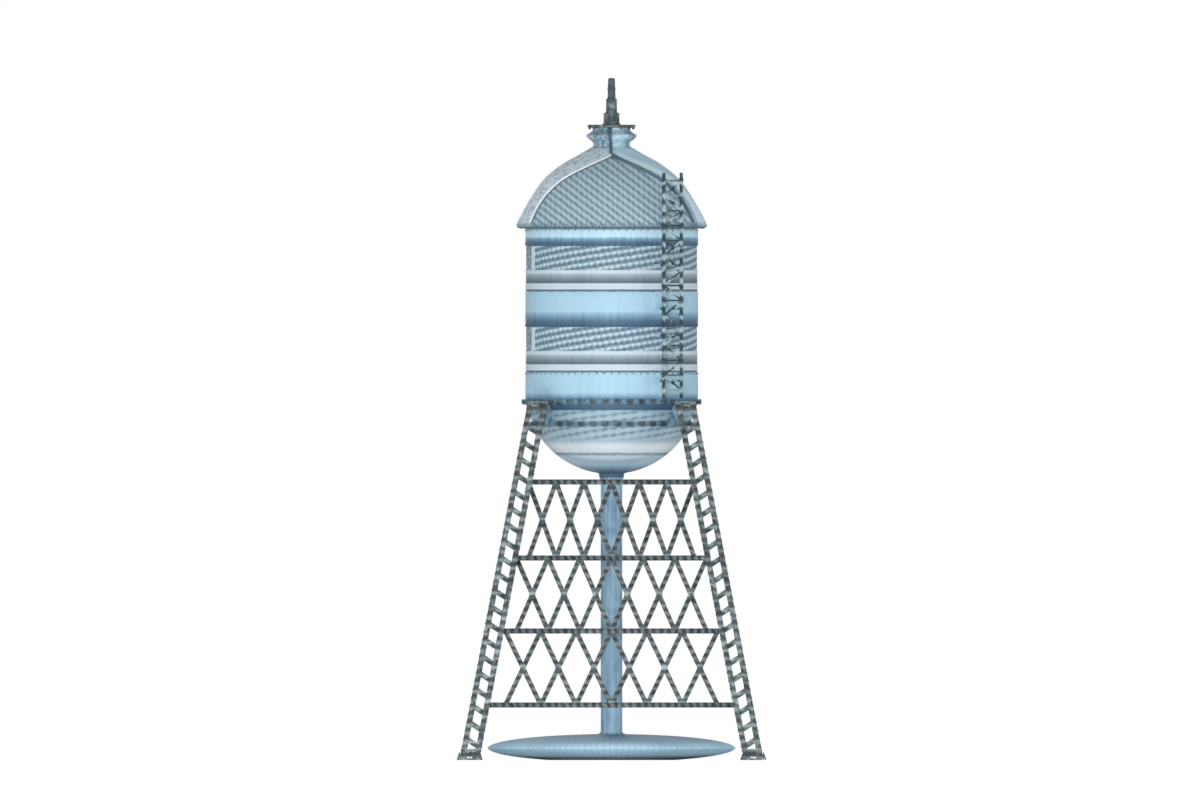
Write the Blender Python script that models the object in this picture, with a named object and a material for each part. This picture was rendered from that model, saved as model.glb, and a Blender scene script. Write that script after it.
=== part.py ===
"""Water tower on four laced legs: a riveted round tank with a bowl bottom and a
domed roof, a central riser pipe on a dished base, lattice sides and a ladder.

Metres, +Z up. The front faces -Y, the origin is on the ground on the centre line.
"""

import bpy
import bmesh
from math import cos, pi, radians, sin, sqrt
from mathutils import Vector
from mathutils.geometry import delaunay_2d_cdt

# Overall sizes
GAP = 0.0003                 # clearance between pieces that touch
SNUG = 0.0004                # the same between round pieces, measured at their corners
TANK_R = 2.80                # outside radius of the tank wall
WALL = 0.05                  # wall thickness as modelled
Z_SPRING = 12.052            # where the straight wall meets the bowl
Z_SEAM_1 = 13.067            # joint between lower and middle course
Z_SEAM_2 = 15.687            # joint between middle and upper course
Z_WALL_TOP = 17.400
BOWL_DEPTH = 2.686           # height of the half-ellipsoid bottom
TANK_SIDES = 36              # flats round the tank
BELT_T = 0.035               # how far a stiffening belt stands off the wall
Z_GIRDER = 11.730            # middle of the upper circular girder
GIRDER_R = 2.935             # outside radius of the upper circular girder
EAVES_R = 3.128              # tip of the eaves
Z_ROOF_TOP = 20.043          # where the vent neck stands
Z_NECK_TOP = 20.706
Z_CAP_TOP = 20.806

# Tower
LEG_FOOT_OFFSET = 4.656      # leg centre to tower centre at ground level
LEG_BATTER = 0.191           # how far a leg leans in for each metre of height
CHORD_H = 0.2456             # half the distance between the chords of one leg
CHORD_C = 0.082              # half the width of one chord
PLATE_T = 0.060              # base plate thickness
PLATE_HALF = 0.42            # half the width of a base plate
PLATE_CUT = 0.06             # how much its corners are cut
HEAD_T = 0.060               # thickness of the plate on a leg's head
HEAD_HALF = 0.3476           # half the width of that plate
WEB_T = 0.070                # thickness of the web plate under it
Z_LEG_TOP = 11.700
LACE_N = 20                  # lacing bars on each face of a leg
LACE_PITCH = 0.540
LACE_FIRST = 0.560           # height of the lowest lacing bar
LACE_DROP = 0.280            # a bar falls this much from the outer to the inner chord
LACE_TALL = 0.130            # vertical depth of a bar
LACE_THICK = 0.060           # thickness of a bar

# Sides: strut heights and the half pitch of the crossed bars below each of them
STRUTS = (9.105, 6.615, 4.225, 1.801)
STRUT_TALL = 0.160
ROWS = ((9.105, 6.615, 0.9070), (6.615, 4.225, 1.0380), (4.225, 1.801, 1.1590))
CROSSES = 6
BAR_W = 0.140
SIDE_THICK = 0.110

# Riser and its base
RISER_R = 0.352
RISER_WALL = 0.045
RISER_SIDES = 24
BASE_R = 4.045
BASE_MID = 0.393
BASE_HALF = 0.4585

# Ladder
LADDER_AZ = radians(37.9)    # from the front towards +X
LADDER_R = 3.255             # tower centre to the ladder's centre plane
STILE_HALF = 0.363           # half the distance between the stiles
STILE_W = 0.080
STILE_D = 0.060
RUNG_N = 15
RUNG_FIRST = 0.260           # lowest rung above the ladder's foot
RUNG_PITCH = 0.490
RUNG_W = 0.048
BRACKET_TALL = 0.070
Z_LADDER_BOTTOM = 11.850
Z_LADDER_TOP = 19.240


def clear_scene():
    for old in list(bpy.data.objects):
        bpy.data.objects.remove(old, do_unlink=True)


def paint(name, colour, roughness, metallic):
    material = bpy.data.materials.new(name)
    material.use_nodes = True
    shader = material.node_tree.nodes["Principled BSDF"]
    shader.inputs["Base Color"].default_value = (*colour, 1.0)
    shader.inputs["Roughness"].default_value = roughness
    shader.inputs["Metallic"].default_value = metallic
    material.diffuse_color = (*colour, 1.0)
    return material


def add_object(name, shape, material, turn=0):
    """Makes the object of a bmesh, turned by quarter turns about the tower's centre line."""
    bmesh.ops.recalc_face_normals(shape, faces=shape.faces[:])
    mesh = bpy.data.meshes.new(name)
    shape.to_mesh(mesh)
    shape.free()
    mesh.materials.append(material)
    obj = bpy.data.objects.new(name, mesh)
    bpy.context.scene.collection.objects.link(obj)
    obj.rotation_euler.z = turn * pi / 2
    obj.parent = tower
    return obj


def revolve(name, profile, sides, material):
    """Spins a closed profile of (radius, height) points round the centre line. A radius of 0 is on the axis."""
    foot = profile[0][1]
    shape = bmesh.new()
    ring = [shape.verts.new((radius, 0.0, height - foot)) for radius, height in profile]
    edges = [shape.edges.new((ring[i - 1], ring[i])) for i in range(len(ring))]
    on_axis = [v for v in ring if v.co.x == 0]
    if len(on_axis) == 2:
        # The stretch between two points on the axis would spin into nothing
        shared = [e for e in edges if e.verts[0] in on_axis and e.verts[1] in on_axis]
        for edge in shared:
            edges.remove(edge)
            shape.edges.remove(edge)
    bmesh.ops.spin(
        shape,
        geom=ring + edges,
        cent=(0.0, 0.0, 0.0),
        axis=(0.0, 0.0, 1.0),
        angle=2 * pi,
        steps=sides,
        use_merge=True,
    )
    bmesh.ops.remove_doubles(shape, verts=shape.verts[:], dist=0.00001)
    for face in shape.faces:
        face.smooth = True
    obj = add_object(name, shape, material)
    obj.location.z = foot
    obj.data.set_sharp_from_angle(angle=radians(30))
    return obj


def inside(point, polygon):
    """True if a 2D point lies within a convex polygon."""
    sign = 0
    for i, a in enumerate(polygon):
        b = polygon[(i + 1) % len(polygon)]
        turn = (b[0] - a[0]) * (point[1] - a[1]) - (b[1] - a[1]) * (point[0] - a[0])
        if abs(turn) < 1e-9:
            continue
        if sign and (turn > 0) != (sign > 0):
            return False
        sign = 1 if turn > 0 else -1
    return True


def flat_union(polygons, clip):
    """Triangulates the union of convex polygons within a convex clip polygon, with no needless points."""

    def kept(point):
        return (clip is None or inside(point, clip)) and any(inside(point, p) for p in polygons)

    def triangles(points, edges, polys):
        verts, _, faces, _, _, _ = delaunay_2d_cdt(points, edges, polys, 0, 1e-6)
        chosen = []
        for face in faces:
            centre = sum((verts[i] for i in face), Vector((0.0, 0.0))) / len(face)
            if kept(centre):
                chosen.append(list(face))
        return verts, chosen

    points = []
    polys = []
    for polygon in polygons + ([clip] if clip else []):
        polys.append(list(range(len(points), len(points) + len(polygon))))
        points += [Vector(p) for p in polygon]
    verts, faces = triangles(points, [], polys)
    # Outline of the union, without the points that lie on a straight stretch of it
    border = {}
    for face in faces:
        for i, a in enumerate(face):
            b = face[(i + 1) % len(face)]
            if (b, a) in border:
                del border[(b, a)]
            else:
                border[(a, b)] = True
    following = {}
    for a, b in border:
        following.setdefault(a, []).append(b)
    loops = []
    while following:
        start = next(iter(following))
        loop = [start]
        here = start
        while True:
            nexts = following[here]
            there = nexts.pop()
            if not nexts:
                del following[here]
            if there == start:
                break
            loop.append(there)
            here = there
        loops.append(loop)
    corners = []
    for loop in loops:
        keep = []
        for i, v in enumerate(loop):
            a = verts[loop[i - 1]]
            b = verts[v]
            c = verts[loop[(i + 1) % len(loop)]]
            turn = (b.x - a.x) * (c.y - b.y) - (b.y - a.y) * (c.x - b.x)
            if abs(turn) > 1e-7:
                keep.append(b)
        corners.append(keep)
    points = []
    edges = []
    for keep in corners:
        first = len(points)
        points += keep
        edges += [(first + i, first + (i + 1) % len(keep)) for i in range(len(keep))]
    return triangles(points, edges, [])


def thicken(shape, faces, place, depth):
    """Extrudes flat faces by depth. place(a, b, offset) gives a point of the solid in space."""
    made = bmesh.ops.extrude_face_region(shape, geom=faces, use_keep_orig=True)
    raised = {g for g in made["geom"] if isinstance(g, bmesh.types.BMVert)}
    for vert in shape.verts:
        vert.co = place(vert.co.x, vert.co.y, depth / 2 if vert in raised else -depth / 2)


def flat_solid(name, polygons, clip, place, depth, material, turn=0):
    """A solid plate whose outline is the union of flat polygons."""
    verts, triangles = flat_union(polygons, clip)
    shape = bmesh.new()
    points = {}
    faces = []
    for triangle in triangles:
        for i in triangle:
            if i not in points:
                points[i] = shape.verts.new((verts[i].x, verts[i].y, 0.0))
        faces.append(shape.faces.new([points[i] for i in triangle]))
    thicken(shape, faces, place, depth)
    return add_object(name, shape, material, turn)


def bar(a, b, width):
    """The four corners of a flat bar from point a to point b."""
    a = Vector(a)
    b = Vector(b)
    along = (b - a).normalized()
    across = Vector((-along.y, along.x)) * width / 2
    return [tuple(a - across), tuple(b - across), tuple(b + across), tuple(a + across)]


def leg_offset(z):
    return LEG_FOOT_OFFSET - LEG_BATTER * z


def leg_inner_face(z):
    return leg_offset(z) - CHORD_H - CHORD_C


def laced_leg(name, turn, material):
    """Four square chords joined on all four faces by single diagonal bars, as one solid.

    It stands at the +X +Y corner before it is turned. It is made upright, then leaned inwards by a shear.
    """
    low = PLATE_T + GAP
    high = Z_LEG_TOP
    h = CHORD_H
    c = CHORD_C
    shape = bmesh.new()

    def point(u, v, z):
        shift = leg_offset(z)
        return shape.verts.new((shift + u, shift + v, z))

    def mouths(cu, cv, axis):
        """The open loops where bars meet the chord face that looks at the next chord along u or v."""
        loops = []
        outer = (cu if axis == "u" else cv) > 0
        for i in range(LACE_N):
            level = LACE_FIRST + LACE_PITCH * i + (LACE_DROP / 2 if outer else -LACE_DROP / 2)
            loop = []
            for side, rise in ((-1, -1), (-1, 1), (1, 1), (1, -1)):
                across = side * LACE_THICK / 2
                z = level + rise * LACE_TALL / 2
                if axis == "u":
                    loop.append(point(cu * (h - c), cv * h + across, z))
                else:
                    loop.append(point(cu * h + across, cv * (h - c), z))
            loops.append(loop)
        return loops

    def pierced_face(near, far, loops):
        """Fills a chord face round its column of open loops, between its two long edges (bottom, top)."""
        for edge, chain in (
            (near, [v for loop in loops for v in (loop[0], loop[1])]),
            (far, [v for loop in loops for v in (loop[3], loop[2])]),
        ):
            middle = 2 * (len(loops) // 2)
            for i in range(len(chain) - 1):
                shape.faces.new((edge[0] if i < middle else edge[1], chain[i], chain[i + 1]))
            shape.faces.new((edge[0], chain[middle], edge[1]))
        for below, above in zip(loops, loops[1:]):
            shape.faces.new((below[1], below[2], above[3], above[0]))
        shape.faces.new((near[0], far[0], loops[0][3], loops[0][0]))
        shape.faces.new((near[1], loops[-1][1], loops[-1][2], far[1]))

    columns = {}
    for cu in (-1, 1):
        for cv in (-1, 1):
            corner = {}
            for eu in (-1, 1):
                for ev in (-1, 1):
                    for end, z in enumerate((low, high)):
                        corner[eu, ev, end] = point(cu * h + eu * c, cv * h + ev * c, z)
            for axis in ("u", "v"):
                columns[cu, cv, axis] = mouths(cu, cv, axis)
                inner = [(-cu, -1), (-cu, 1)] if axis == "u" else [(-1, -cv), (1, -cv)]
                near = [corner[inner[0] + (k,)] for k in (0, 1)]
                far = [corner[inner[1] + (k,)] for k in (0, 1)]
                pierced_face(near, far, columns[cu, cv, axis])
                plain = [(cu, -1), (cu, 1)] if axis == "u" else [(-1, cv), (1, cv)]
                loop = [corner[plain[i] + (k,)] for i, k in ((0, 0), (1, 0), (1, 1), (0, 1))]
                shape.faces.new(loop)
            for end in (0, 1):
                shape.faces.new([corner[eu, ev, end] for eu, ev in ((-1, -1), (1, -1), (1, 1), (-1, 1))])
    for other in (-1, 1):
        pairs = list(zip(columns[-1, other, "u"], columns[1, other, "u"]))
        pairs += list(zip(columns[other, -1, "v"], columns[other, 1, "v"]))
        for one, two in pairs:
            edges = [shape.edges.get((loop[i - 1], loop[i])) for loop in (one, two) for i in range(4)]
            bmesh.ops.bridge_loops(shape, edges=edges)
    return add_object(name, shape, material, turn)


def side_lattice(name, turn, material):
    """One flat side: four struts and three rows of crossed bars, fused, between two legs.

    turn counts quarter turns from the front. The plane of the side leans with the legs.
    """
    polygons = []
    for z in STRUTS:
        low = z - STRUT_TALL / 2
        high = z + STRUT_TALL / 2
        a = leg_inner_face(low) - GAP
        b = leg_inner_face(high) - GAP
        polygons.append([(-a, low), (a, low), (b, high), (-b, high)])
    for top, bottom, pitch in ROWS:
        for i in range(CROSSES):
            centre = (i - (CROSSES - 1) / 2) * pitch
            for way in (-1, 1):
                start = (centre - way * pitch / 2, bottom - 0.01)
                end = (centre + way * pitch / 2, top + 0.01)
                polygons.append(bar(start, end, BAR_W))
    low = STRUTS[-1] - STRUT_TALL / 2
    high = STRUTS[0] + STRUT_TALL / 2
    a = leg_inner_face(low) - GAP
    b = leg_inner_face(high) - GAP
    clip = [(-a, low), (a, low), (b, high), (-b, high)]

    def place(x, z, offset):
        return (x, offset - leg_offset(z) - CHORD_H, z)

    return flat_solid(name, polygons, clip, place, SIDE_THICK, material, turn)


def bowl_point(angle, inset=0.0):
    """A point of the bowl's half ellipse, angle down from the spring line."""
    return ((TANK_R - inset) * cos(angle), Z_SPRING - (BOWL_DEPTH - inset) * sin(angle))


def bowl_radius(z):
    return TANK_R * sqrt(1 - ((Z_SPRING - z) / BOWL_DEPTH) ** 2)


def radius_at(outline, z):
    """The radius of a turned outline, given from the top down, at a height on it."""
    for (r0, z0), (r1, z1) in zip(outline, outline[1:]):
        if z1 <= z <= z0:
            return r0 + (r1 - r0) * (z0 - z) / (z0 - z1)
    return outline[0][0]


def base_radius(z):
    return BASE_R * sqrt(1 - ((z - BASE_MID) / BASE_HALF) ** 2)


def finish(name, colour, roughness=0.45, metallic=0.35):
    return paint(name + "_paint", colour, roughness, metallic)


clear_scene()
tower = bpy.data.objects.new("water_tower", None)
bpy.context.scene.collection.objects.link(tower)

LEG_COLOUR = (0.105, 0.135, 0.140)
LIGHT_BLUE = (0.430, 0.640, 0.780)
GREY_BLUE = (0.250, 0.370, 0.450)
DEEP_BLUE = (0.110, 0.190, 0.270)
# Each corner by its quarter turns from the +X +Y corner, and each side by those from the front
CORNERS = {"front_left": 2, "front_right": 3, "back_left": 1, "back_right": 0}
SIDES = ("front", "right", "back", "left")

# Legs, each on a base plate with cut corners
plate_outline = []
for ax, ay in ((-1, -1), (1, -1), (1, 1), (-1, 1)):
    cut = [(ax * PLATE_HALF, ay * (PLATE_HALF - PLATE_CUT)), (ax * (PLATE_HALF - PLATE_CUT), ay * PLATE_HALF)]
    plate_outline += cut if ax * ay > 0 else cut[::-1]
foot_centre = leg_offset(PLATE_T)
for corner_name, turn in CORNERS.items():
    name = "leg_" + corner_name
    laced_leg(name, turn, finish(name, LEG_COLOUR))
    name = "base_plate_" + corner_name
    polygon = [(foot_centre + x, foot_centre + y) for x, y in plate_outline]
    flat_solid(
        name,
        [polygon],
        None,
        lambda x, y, w: (x, y, PLATE_T / 2 + w),
        PLATE_T,
        finish(name, LEG_COLOUR),
        turn,
    )

# Lattice sides
for turn, side_name in enumerate(SIDES):
    name = "lattice_" + side_name
    side_lattice(name, turn, finish(name, LEG_COLOUR))

# Dished base under the riser: two heads with a flange between them
Z_RIM_LOW = BASE_MID - 0.040
Z_RIM_HIGH = BASE_MID + 0.040
outer = [(base_radius(z), z) for z in (0.0, 0.12, 0.24, Z_RIM_LOW - GAP)]
inner = [(outer[-1][0] - 0.12, Z_RIM_LOW - GAP), (3.10, 0.200), (1.98, 0.060), (0.0, 0.060)]
revolve("riser_base_lower", [(0.0, 0.0)] + outer + inner, TANK_SIDES, finish("riser_base_lower", LIGHT_BLUE))
flange = [
    (3.720, Z_RIM_LOW),
    (BASE_R - 0.012, Z_RIM_LOW),
    (BASE_R, Z_RIM_LOW + 0.012),
    (BASE_R, Z_RIM_HIGH - 0.012),
    (BASE_R - 0.012, Z_RIM_HIGH),
    (3.720, Z_RIM_HIGH),
]
revolve("riser_base_flange", flange, TANK_SIDES, finish("riser_base_flange", DEEP_BLUE))
outer = [(base_radius(z), z) for z in (Z_RIM_HIGH + GAP, 0.545, 0.655, 0.750, 0.815, 0.845)]
outer.append((RISER_R - 0.060, 0.850))
inner = [(RISER_R - 0.060, 0.780), (1.20, 0.755), (2.60, 0.640), (outer[0][0] - 0.14, Z_RIM_HIGH + GAP)]
revolve("riser_base_upper", outer + inner, TANK_SIDES, finish("riser_base_upper", LIGHT_BLUE))

# Riser in three lengths, with a joint band at both ends of each
bore = RISER_R - RISER_WALL
band = RISER_R + 0.025
for name, low, high in (
    ("riser_lower", 0.850, 4.225),
    ("riser_middle", 4.225, 6.615),
    ("riser_upper", 6.615, 9.250),
):
    profile = [(bore, low + GAP), (band, low + GAP), (band, low + 0.060), (RISER_R, low + 0.060)]
    profile += [(RISER_R, high - 0.060), (band, high - 0.060), (band, high), (bore, high)]
    revolve(name, profile, RISER_SIDES, finish(name, GREY_BLUE))

# Bowl bottom, with a short neck over the riser
bowl_outer = [bowl_point(radians(a)) for a in (0, 6.5, 12.68, 23.06, 36, 50, 65)]
bowl_outer += [(0.62, Z_SPRING - BOWL_DEPTH * sqrt(1 - (0.62 / TANK_R) ** 2)), (0.43, 9.345), (0.40, 9.2503)]
bowl_inner = [(0.307, 9.2503), (0.307, 9.440)]
bowl_inner += [bowl_point(radians(a), WALL) for a in (62, 42, 21)] + [(TANK_R - WALL, Z_SPRING)]
revolve("tank_bowl", bowl_outer + bowl_inner, TANK_SIDES, finish("tank_bowl", GREY_BLUE))

# Tank wall in three courses
for name, low, high in (
    ("tank_course_lower", Z_SPRING + GAP, Z_SEAM_1),
    ("tank_course_middle", Z_SEAM_1 + GAP, Z_SEAM_2),
    ("tank_course_upper", Z_SEAM_2 + GAP, Z_WALL_TOP),
):
    profile = [(TANK_R - WALL, low), (TANK_R, low), (TANK_R, high), (TANK_R - WALL, high)]
    revolve(name, profile, TANK_SIDES, finish(name, GREY_BLUE))

# Stiffening belts round the wall; the lowest follows the top of the bowl
for name, low, high in (("belt_upper", 16.835, 17.395), ("belt_middle", 14.180, 15.360)):
    face = TANK_R + BELT_T
    profile = [(TANK_R + SNUG, low), (face - 0.015, low), (face, low + 0.050), (face, high - 0.050)]
    profile += [(face - 0.015, high), (TANK_R + SNUG, high)]
    revolve(name, profile, TANK_SIDES, finish(name, LIGHT_BLUE))
skirt = [(TANK_R, 12.707), (TANK_R, Z_SPRING)] + bowl_outer[1:3]
skirt_inner = [(r + SNUG, z) for r, z in skirt]
skirt_outer = [(r + BELT_T, z) for r, z in skirt]
revolve("belt_lower", skirt_inner + skirt_outer[::-1], TANK_SIDES, finish("belt_lower", LIGHT_BLUE))

# Circular girders: the upper one carries the tank on the leg heads
low = Z_GIRDER - 0.070
high = Z_GIRDER + 0.070
girder_low = low
bend = bowl_outer[1][1]
profile = [(radius_at(skirt_outer, low) + SNUG, low), (GIRDER_R, low), (GIRDER_R, high)]
profile += [(radius_at(skirt_outer, high) + SNUG, high), (radius_at(skirt_outer, bend) + SNUG, bend)]
revolve("girder_ring_upper", profile, TANK_SIDES, finish("girder_ring_upper", LEG_COLOUR))
middle = bowl_outer[3][1]
low = middle - 0.065
high = middle + 0.065
ring_top = high
lower_ring_r = bowl_radius(middle) + 0.095
profile = [(radius_at(bowl_outer, low) + SNUG, low), (lower_ring_r, low), (lower_ring_r, high)]
profile += [(radius_at(bowl_outer, high) + SNUG, high), (bowl_radius(middle) + SNUG, middle)]
revolve("girder_ring_lower", profile, TANK_SIDES, finish("girder_ring_lower", LEG_COLOUR))

# Head plates on the legs, reaching in to the upper girder, and web plates below them.
# Both are drawn along the diagonal of the tower: along is the distance from the centre line.
diagonal = Vector((1.0, 1.0)).normalized()
sideways = Vector((-1.0, 1.0)).normalized()
upper_flat = GIRDER_R * cos(pi / TANK_SIDES) + GAP
lower_flat = lower_ring_r * cos(pi / TANK_SIDES) + GAP
z_head = Z_LEG_TOP + GAP
z_low = middle - 0.060
z_high = Z_LEG_TOP - GAP
z_step = girder_low - 0.004
head_centre = leg_offset(Z_LEG_TOP)


def on_diagonal(along, side):
    return tuple(diagonal * along + sideways * side)


def leg_corner(z):
    """How far the leg's innermost corner is from the centre line."""
    return sqrt(2) * leg_inner_face(z) - GAP * 2


near = head_centre - HEAD_HALF
far = head_centre + HEAD_HALF
square = [(near, near), (far, near), (far, far), (near, far)]
tongue = [on_diagonal(*p) for p in ((upper_flat, -0.235), (3.30, -0.420), (3.30, 0.420), (upper_flat, 0.235))]
reach = [on_diagonal(*p) for p in ((upper_flat, -1.5), (4.5, -1.5), (4.5, 1.5), (upper_flat, 1.5))]
web_low = [(lower_flat, z_low), (leg_corner(z_low), z_low), (upper_flat, z_step), (lower_flat, ring_top + 0.04)]
web_high = [(leg_corner(z_low), z_low), (leg_corner(z_high), z_high)]
web_high += [(upper_flat, z_high), (upper_flat, z_step)]
for corner_name, turn in CORNERS.items():
    name = "leg_head_" + corner_name
    flat_solid(
        name,
        [square, tongue],
        reach,
        lambda x, y, w: (x, y, z_head + HEAD_T / 2 + w),
        HEAD_T,
        finish(name, LEG_COLOUR),
        turn,
    )
    name = "leg_web_" + corner_name
    flat_solid(
        name,
        [web_low, web_high],
        None,
        lambda along, z, w: (*on_diagonal(along, w), z),
        WEB_T,
        finish(name, LEG_COLOUR),
        turn,
    )

# Eaves ring and domed roof
z_eaves = Z_WALL_TOP + 0.060
eaves = [(2.700, Z_WALL_TOP + GAP), (3.000, Z_WALL_TOP + GAP), (3.060, z_eaves), (2.700, z_eaves)]
revolve("eaves_ring", eaves, TANK_SIDES, finish("eaves_ring", DEEP_BLUE))
z_seat = z_eaves + GAP
outer = [(EAVES_R, 17.520), (2.948, 17.900), (2.591, 18.510), (2.201, 19.044), (1.631, 19.509)]
outer += [(1.064, 19.827), (0.704, Z_ROOF_TOP)]
inner = [(0.600, Z_ROOF_TOP), (0.600, 19.960), (1.020, 19.740), (1.590, 19.410), (2.130, 18.960)]
inner += [(2.510, 18.440), (2.760, 17.980), (2.760, z_seat), (3.090, z_seat)]
revolve("roof_dome", outer + inner, TANK_SIDES, finish("roof_dome", GREY_BLUE))

# Vent neck, cap plate and stepped finial
neck = [(0.460, Z_ROOF_TOP + GAP), (0.690, Z_ROOF_TOP + GAP), (0.603, 20.110), (0.620, 20.230), (0.819, 20.400)]
neck += [(0.819, 20.490), (0.630, 20.600), (0.606, 20.650), (0.640, Z_NECK_TOP), (0.460, Z_NECK_TOP)]
revolve("vent_neck", neck, RISER_SIDES, finish("vent_neck", GREY_BLUE))
cap = [(0.0, Z_NECK_TOP + GAP), (0.740, Z_NECK_TOP + GAP), (0.786, Z_NECK_TOP + 0.030)]
cap += [(0.786, Z_CAP_TOP - 0.010), (0.770, Z_CAP_TOP), (0.0, Z_CAP_TOP)]
revolve("vent_cap_plate", cap, RISER_SIDES, finish("vent_cap_plate", LEG_COLOUR))
for name, low, high, foot, head in (
    ("finial_lower", Z_CAP_TOP, 21.190, 0.262, 0.262),
    ("finial_middle", 21.190, 21.648, 0.180, 0.180),
    ("finial_top", 21.648, 22.336, 0.131, 0.112),
):
    profile = [(0.0, low + GAP), (foot, low + GAP), (head, high - 0.018), (head - 0.020, high), (0.0, high)]
    revolve(name, profile, RISER_SIDES, finish(name, LEG_COLOUR))

# Ladder: two flat stiles with flat rungs between them, as one solid
ladder_out = Vector((sin(LADDER_AZ), -cos(LADDER_AZ)))
ladder_across = Vector((cos(LADDER_AZ), sin(LADDER_AZ)))
ladder_parts = []
for side in (-1, 1):
    low_x = side * STILE_HALF - STILE_W / 2
    high_x = side * STILE_HALF + STILE_W / 2
    ladder_parts.append(
        [(low_x, Z_LADDER_BOTTOM), (high_x, Z_LADDER_BOTTOM), (high_x, Z_LADDER_TOP), (low_x, Z_LADDER_TOP)]
    )
for i in range(RUNG_N):
    z = Z_LADDER_BOTTOM + RUNG_FIRST + RUNG_PITCH * i
    ladder_parts.append(bar((-STILE_HALF, z), (STILE_HALF, z), RUNG_W))


def on_ladder(across, z, out):
    spot = ladder_out * (LADDER_R + out) + ladder_across * across
    return (spot.x, spot.y, z)


flat_solid("ladder", ladder_parts, None, on_ladder, STILE_D, finish("ladder", LEG_COLOUR))


def ladder_bracket(name, z, back_radius):
    """Two arms from the ladder, joined by a strap that lies against the flats of the wall or belt behind it."""
    step = 2 * pi / TANK_SIDES
    first = int((LADDER_AZ - pi / 2 - radians(11)) // step)
    ring = [Vector((back_radius * cos(i * step), back_radius * sin(i * step))) for i in range(first, first + 5)]
    parts = [[a, b, b + ladder_out * 0.055, a + ladder_out * 0.055] for a, b in zip(ring, ring[1:])]
    for side in (-1, 1):
        arm = []
        for edge in (-STILE_W / 2, STILE_W / 2):
            across = side * STILE_HALF + edge
            arm.append(ladder_across * across + ladder_out * (sqrt(back_radius ** 2 - across ** 2) - 0.020))
        for edge in (STILE_W / 2, -STILE_W / 2):
            across = side * STILE_HALF + edge
            arm.append(ladder_across * across + ladder_out * (LADDER_R - STILE_D / 2 - GAP))
        parts.append(arm)
    wall = [[Vector((0.0, 0.0)), a, b] for a, b in zip(ring, ring[1:])]
    width = STILE_HALF + STILE_W / 2
    points = []
    polys = []
    for polygon in parts + wall:
        polys.append(list(range(len(points), len(points) + len(polygon))))
        points += polygon
    edges = []
    for side in (-1, 1):
        edges.append((len(points), len(points) + 1))
        points += [ladder_across * side * width, ladder_across * side * width + ladder_out * 5.0]
    verts, _, triangles, _, _, _ = delaunay_2d_cdt(points, edges, polys, 0, 1e-6)
    shape = bmesh.new()
    made = {}
    faces = []
    for triangle in triangles:
        centre = sum((verts[i] for i in triangle), Vector((0.0, 0.0))) / 3
        if abs(centre.dot(ladder_across)) > width or any(inside(centre, w) for w in wall):
            continue
        if not any(inside(centre, part) for part in parts):
            continue
        for i in triangle:
            if i not in made:
                made[i] = shape.verts.new((verts[i].x, verts[i].y, 0.0))
        faces.append(shape.faces.new([made[i] for i in triangle]))
    thicken(shape, faces, lambda x, y, w: (x, y, w), BRACKET_TALL)
    obj = add_object(name, shape, finish(name, LEG_COLOUR))
    obj.location.z = z


ladder_bracket("ladder_bracket_1", 12.420, TANK_R + BELT_T + SNUG)
ladder_bracket("ladder_bracket_2", 13.900, TANK_R + SNUG)
ladder_bracket("ladder_bracket_3", 14.780, TANK_R + BELT_T + SNUG)
ladder_bracket("ladder_bracket_4", 16.200, TANK_R + SNUG)
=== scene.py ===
# %% [markdown]
# # A riveted water tower on four laced legs
#
# This lesson dresses a plain CAD model of a water tower as a detailed one. The tower
# is 22.3 m high. It has a round steel tank with a bowl bottom, a domed roof with a
# vent and a finial, four legs that lean inwards, four lattice sides, a pipe down the
# middle that fills the tank, and a wide dished base under that pipe.
#
# The CAD model comes first, as a frame that nothing may move. Each piece made here
# takes the place of a CAD piece, or sits on one. All sizes are in metres. The front
# faces -Y, and the ground is at z = 0.

# %% Load the frame
from math import atan2, cos, hypot, pi, radians, sin, sqrt

import bmesh
import bpy
from mathutils import Matrix, Vector


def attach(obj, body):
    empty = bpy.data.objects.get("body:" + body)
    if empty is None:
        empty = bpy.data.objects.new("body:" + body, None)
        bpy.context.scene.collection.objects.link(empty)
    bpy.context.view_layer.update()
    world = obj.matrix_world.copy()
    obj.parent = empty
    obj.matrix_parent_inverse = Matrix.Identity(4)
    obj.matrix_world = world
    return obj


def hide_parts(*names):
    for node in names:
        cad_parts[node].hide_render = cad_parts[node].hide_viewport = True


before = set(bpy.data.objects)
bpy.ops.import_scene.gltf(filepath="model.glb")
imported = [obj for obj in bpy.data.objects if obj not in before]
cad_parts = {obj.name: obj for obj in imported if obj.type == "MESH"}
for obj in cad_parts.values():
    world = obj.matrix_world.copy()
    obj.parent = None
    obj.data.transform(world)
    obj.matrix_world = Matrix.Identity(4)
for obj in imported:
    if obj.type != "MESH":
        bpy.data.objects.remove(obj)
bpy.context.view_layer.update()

print("CAD pieces:", len(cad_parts))

# %% [markdown]
# ## The camera
#
# The picture of the tower is a flat elevation: the front and back lattices fall on
# each other, so nothing shrinks with distance. An orthographic camera does the same.
# It looks level along +Y, and its scale says how many metres fit across the picture.

# %% Camera
METRES_ACROSS = 39.3
AIM_X = -0.377
AIM_Z = 11.79

bpy.ops.object.camera_add(location=(AIM_X, -60.0, AIM_Z), rotation=(pi / 2, 0.0, 0.0))
camera = bpy.context.object
camera.name = "elevation_camera"
camera.data.type = "ORTHO"
camera.data.ortho_scale = METRES_ACROSS
camera.data.clip_end = 400.0
bpy.context.scene.camera = camera
print("metres in one pixel of a 1200 pixel picture:", METRES_ACROSS / 1200)

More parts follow.
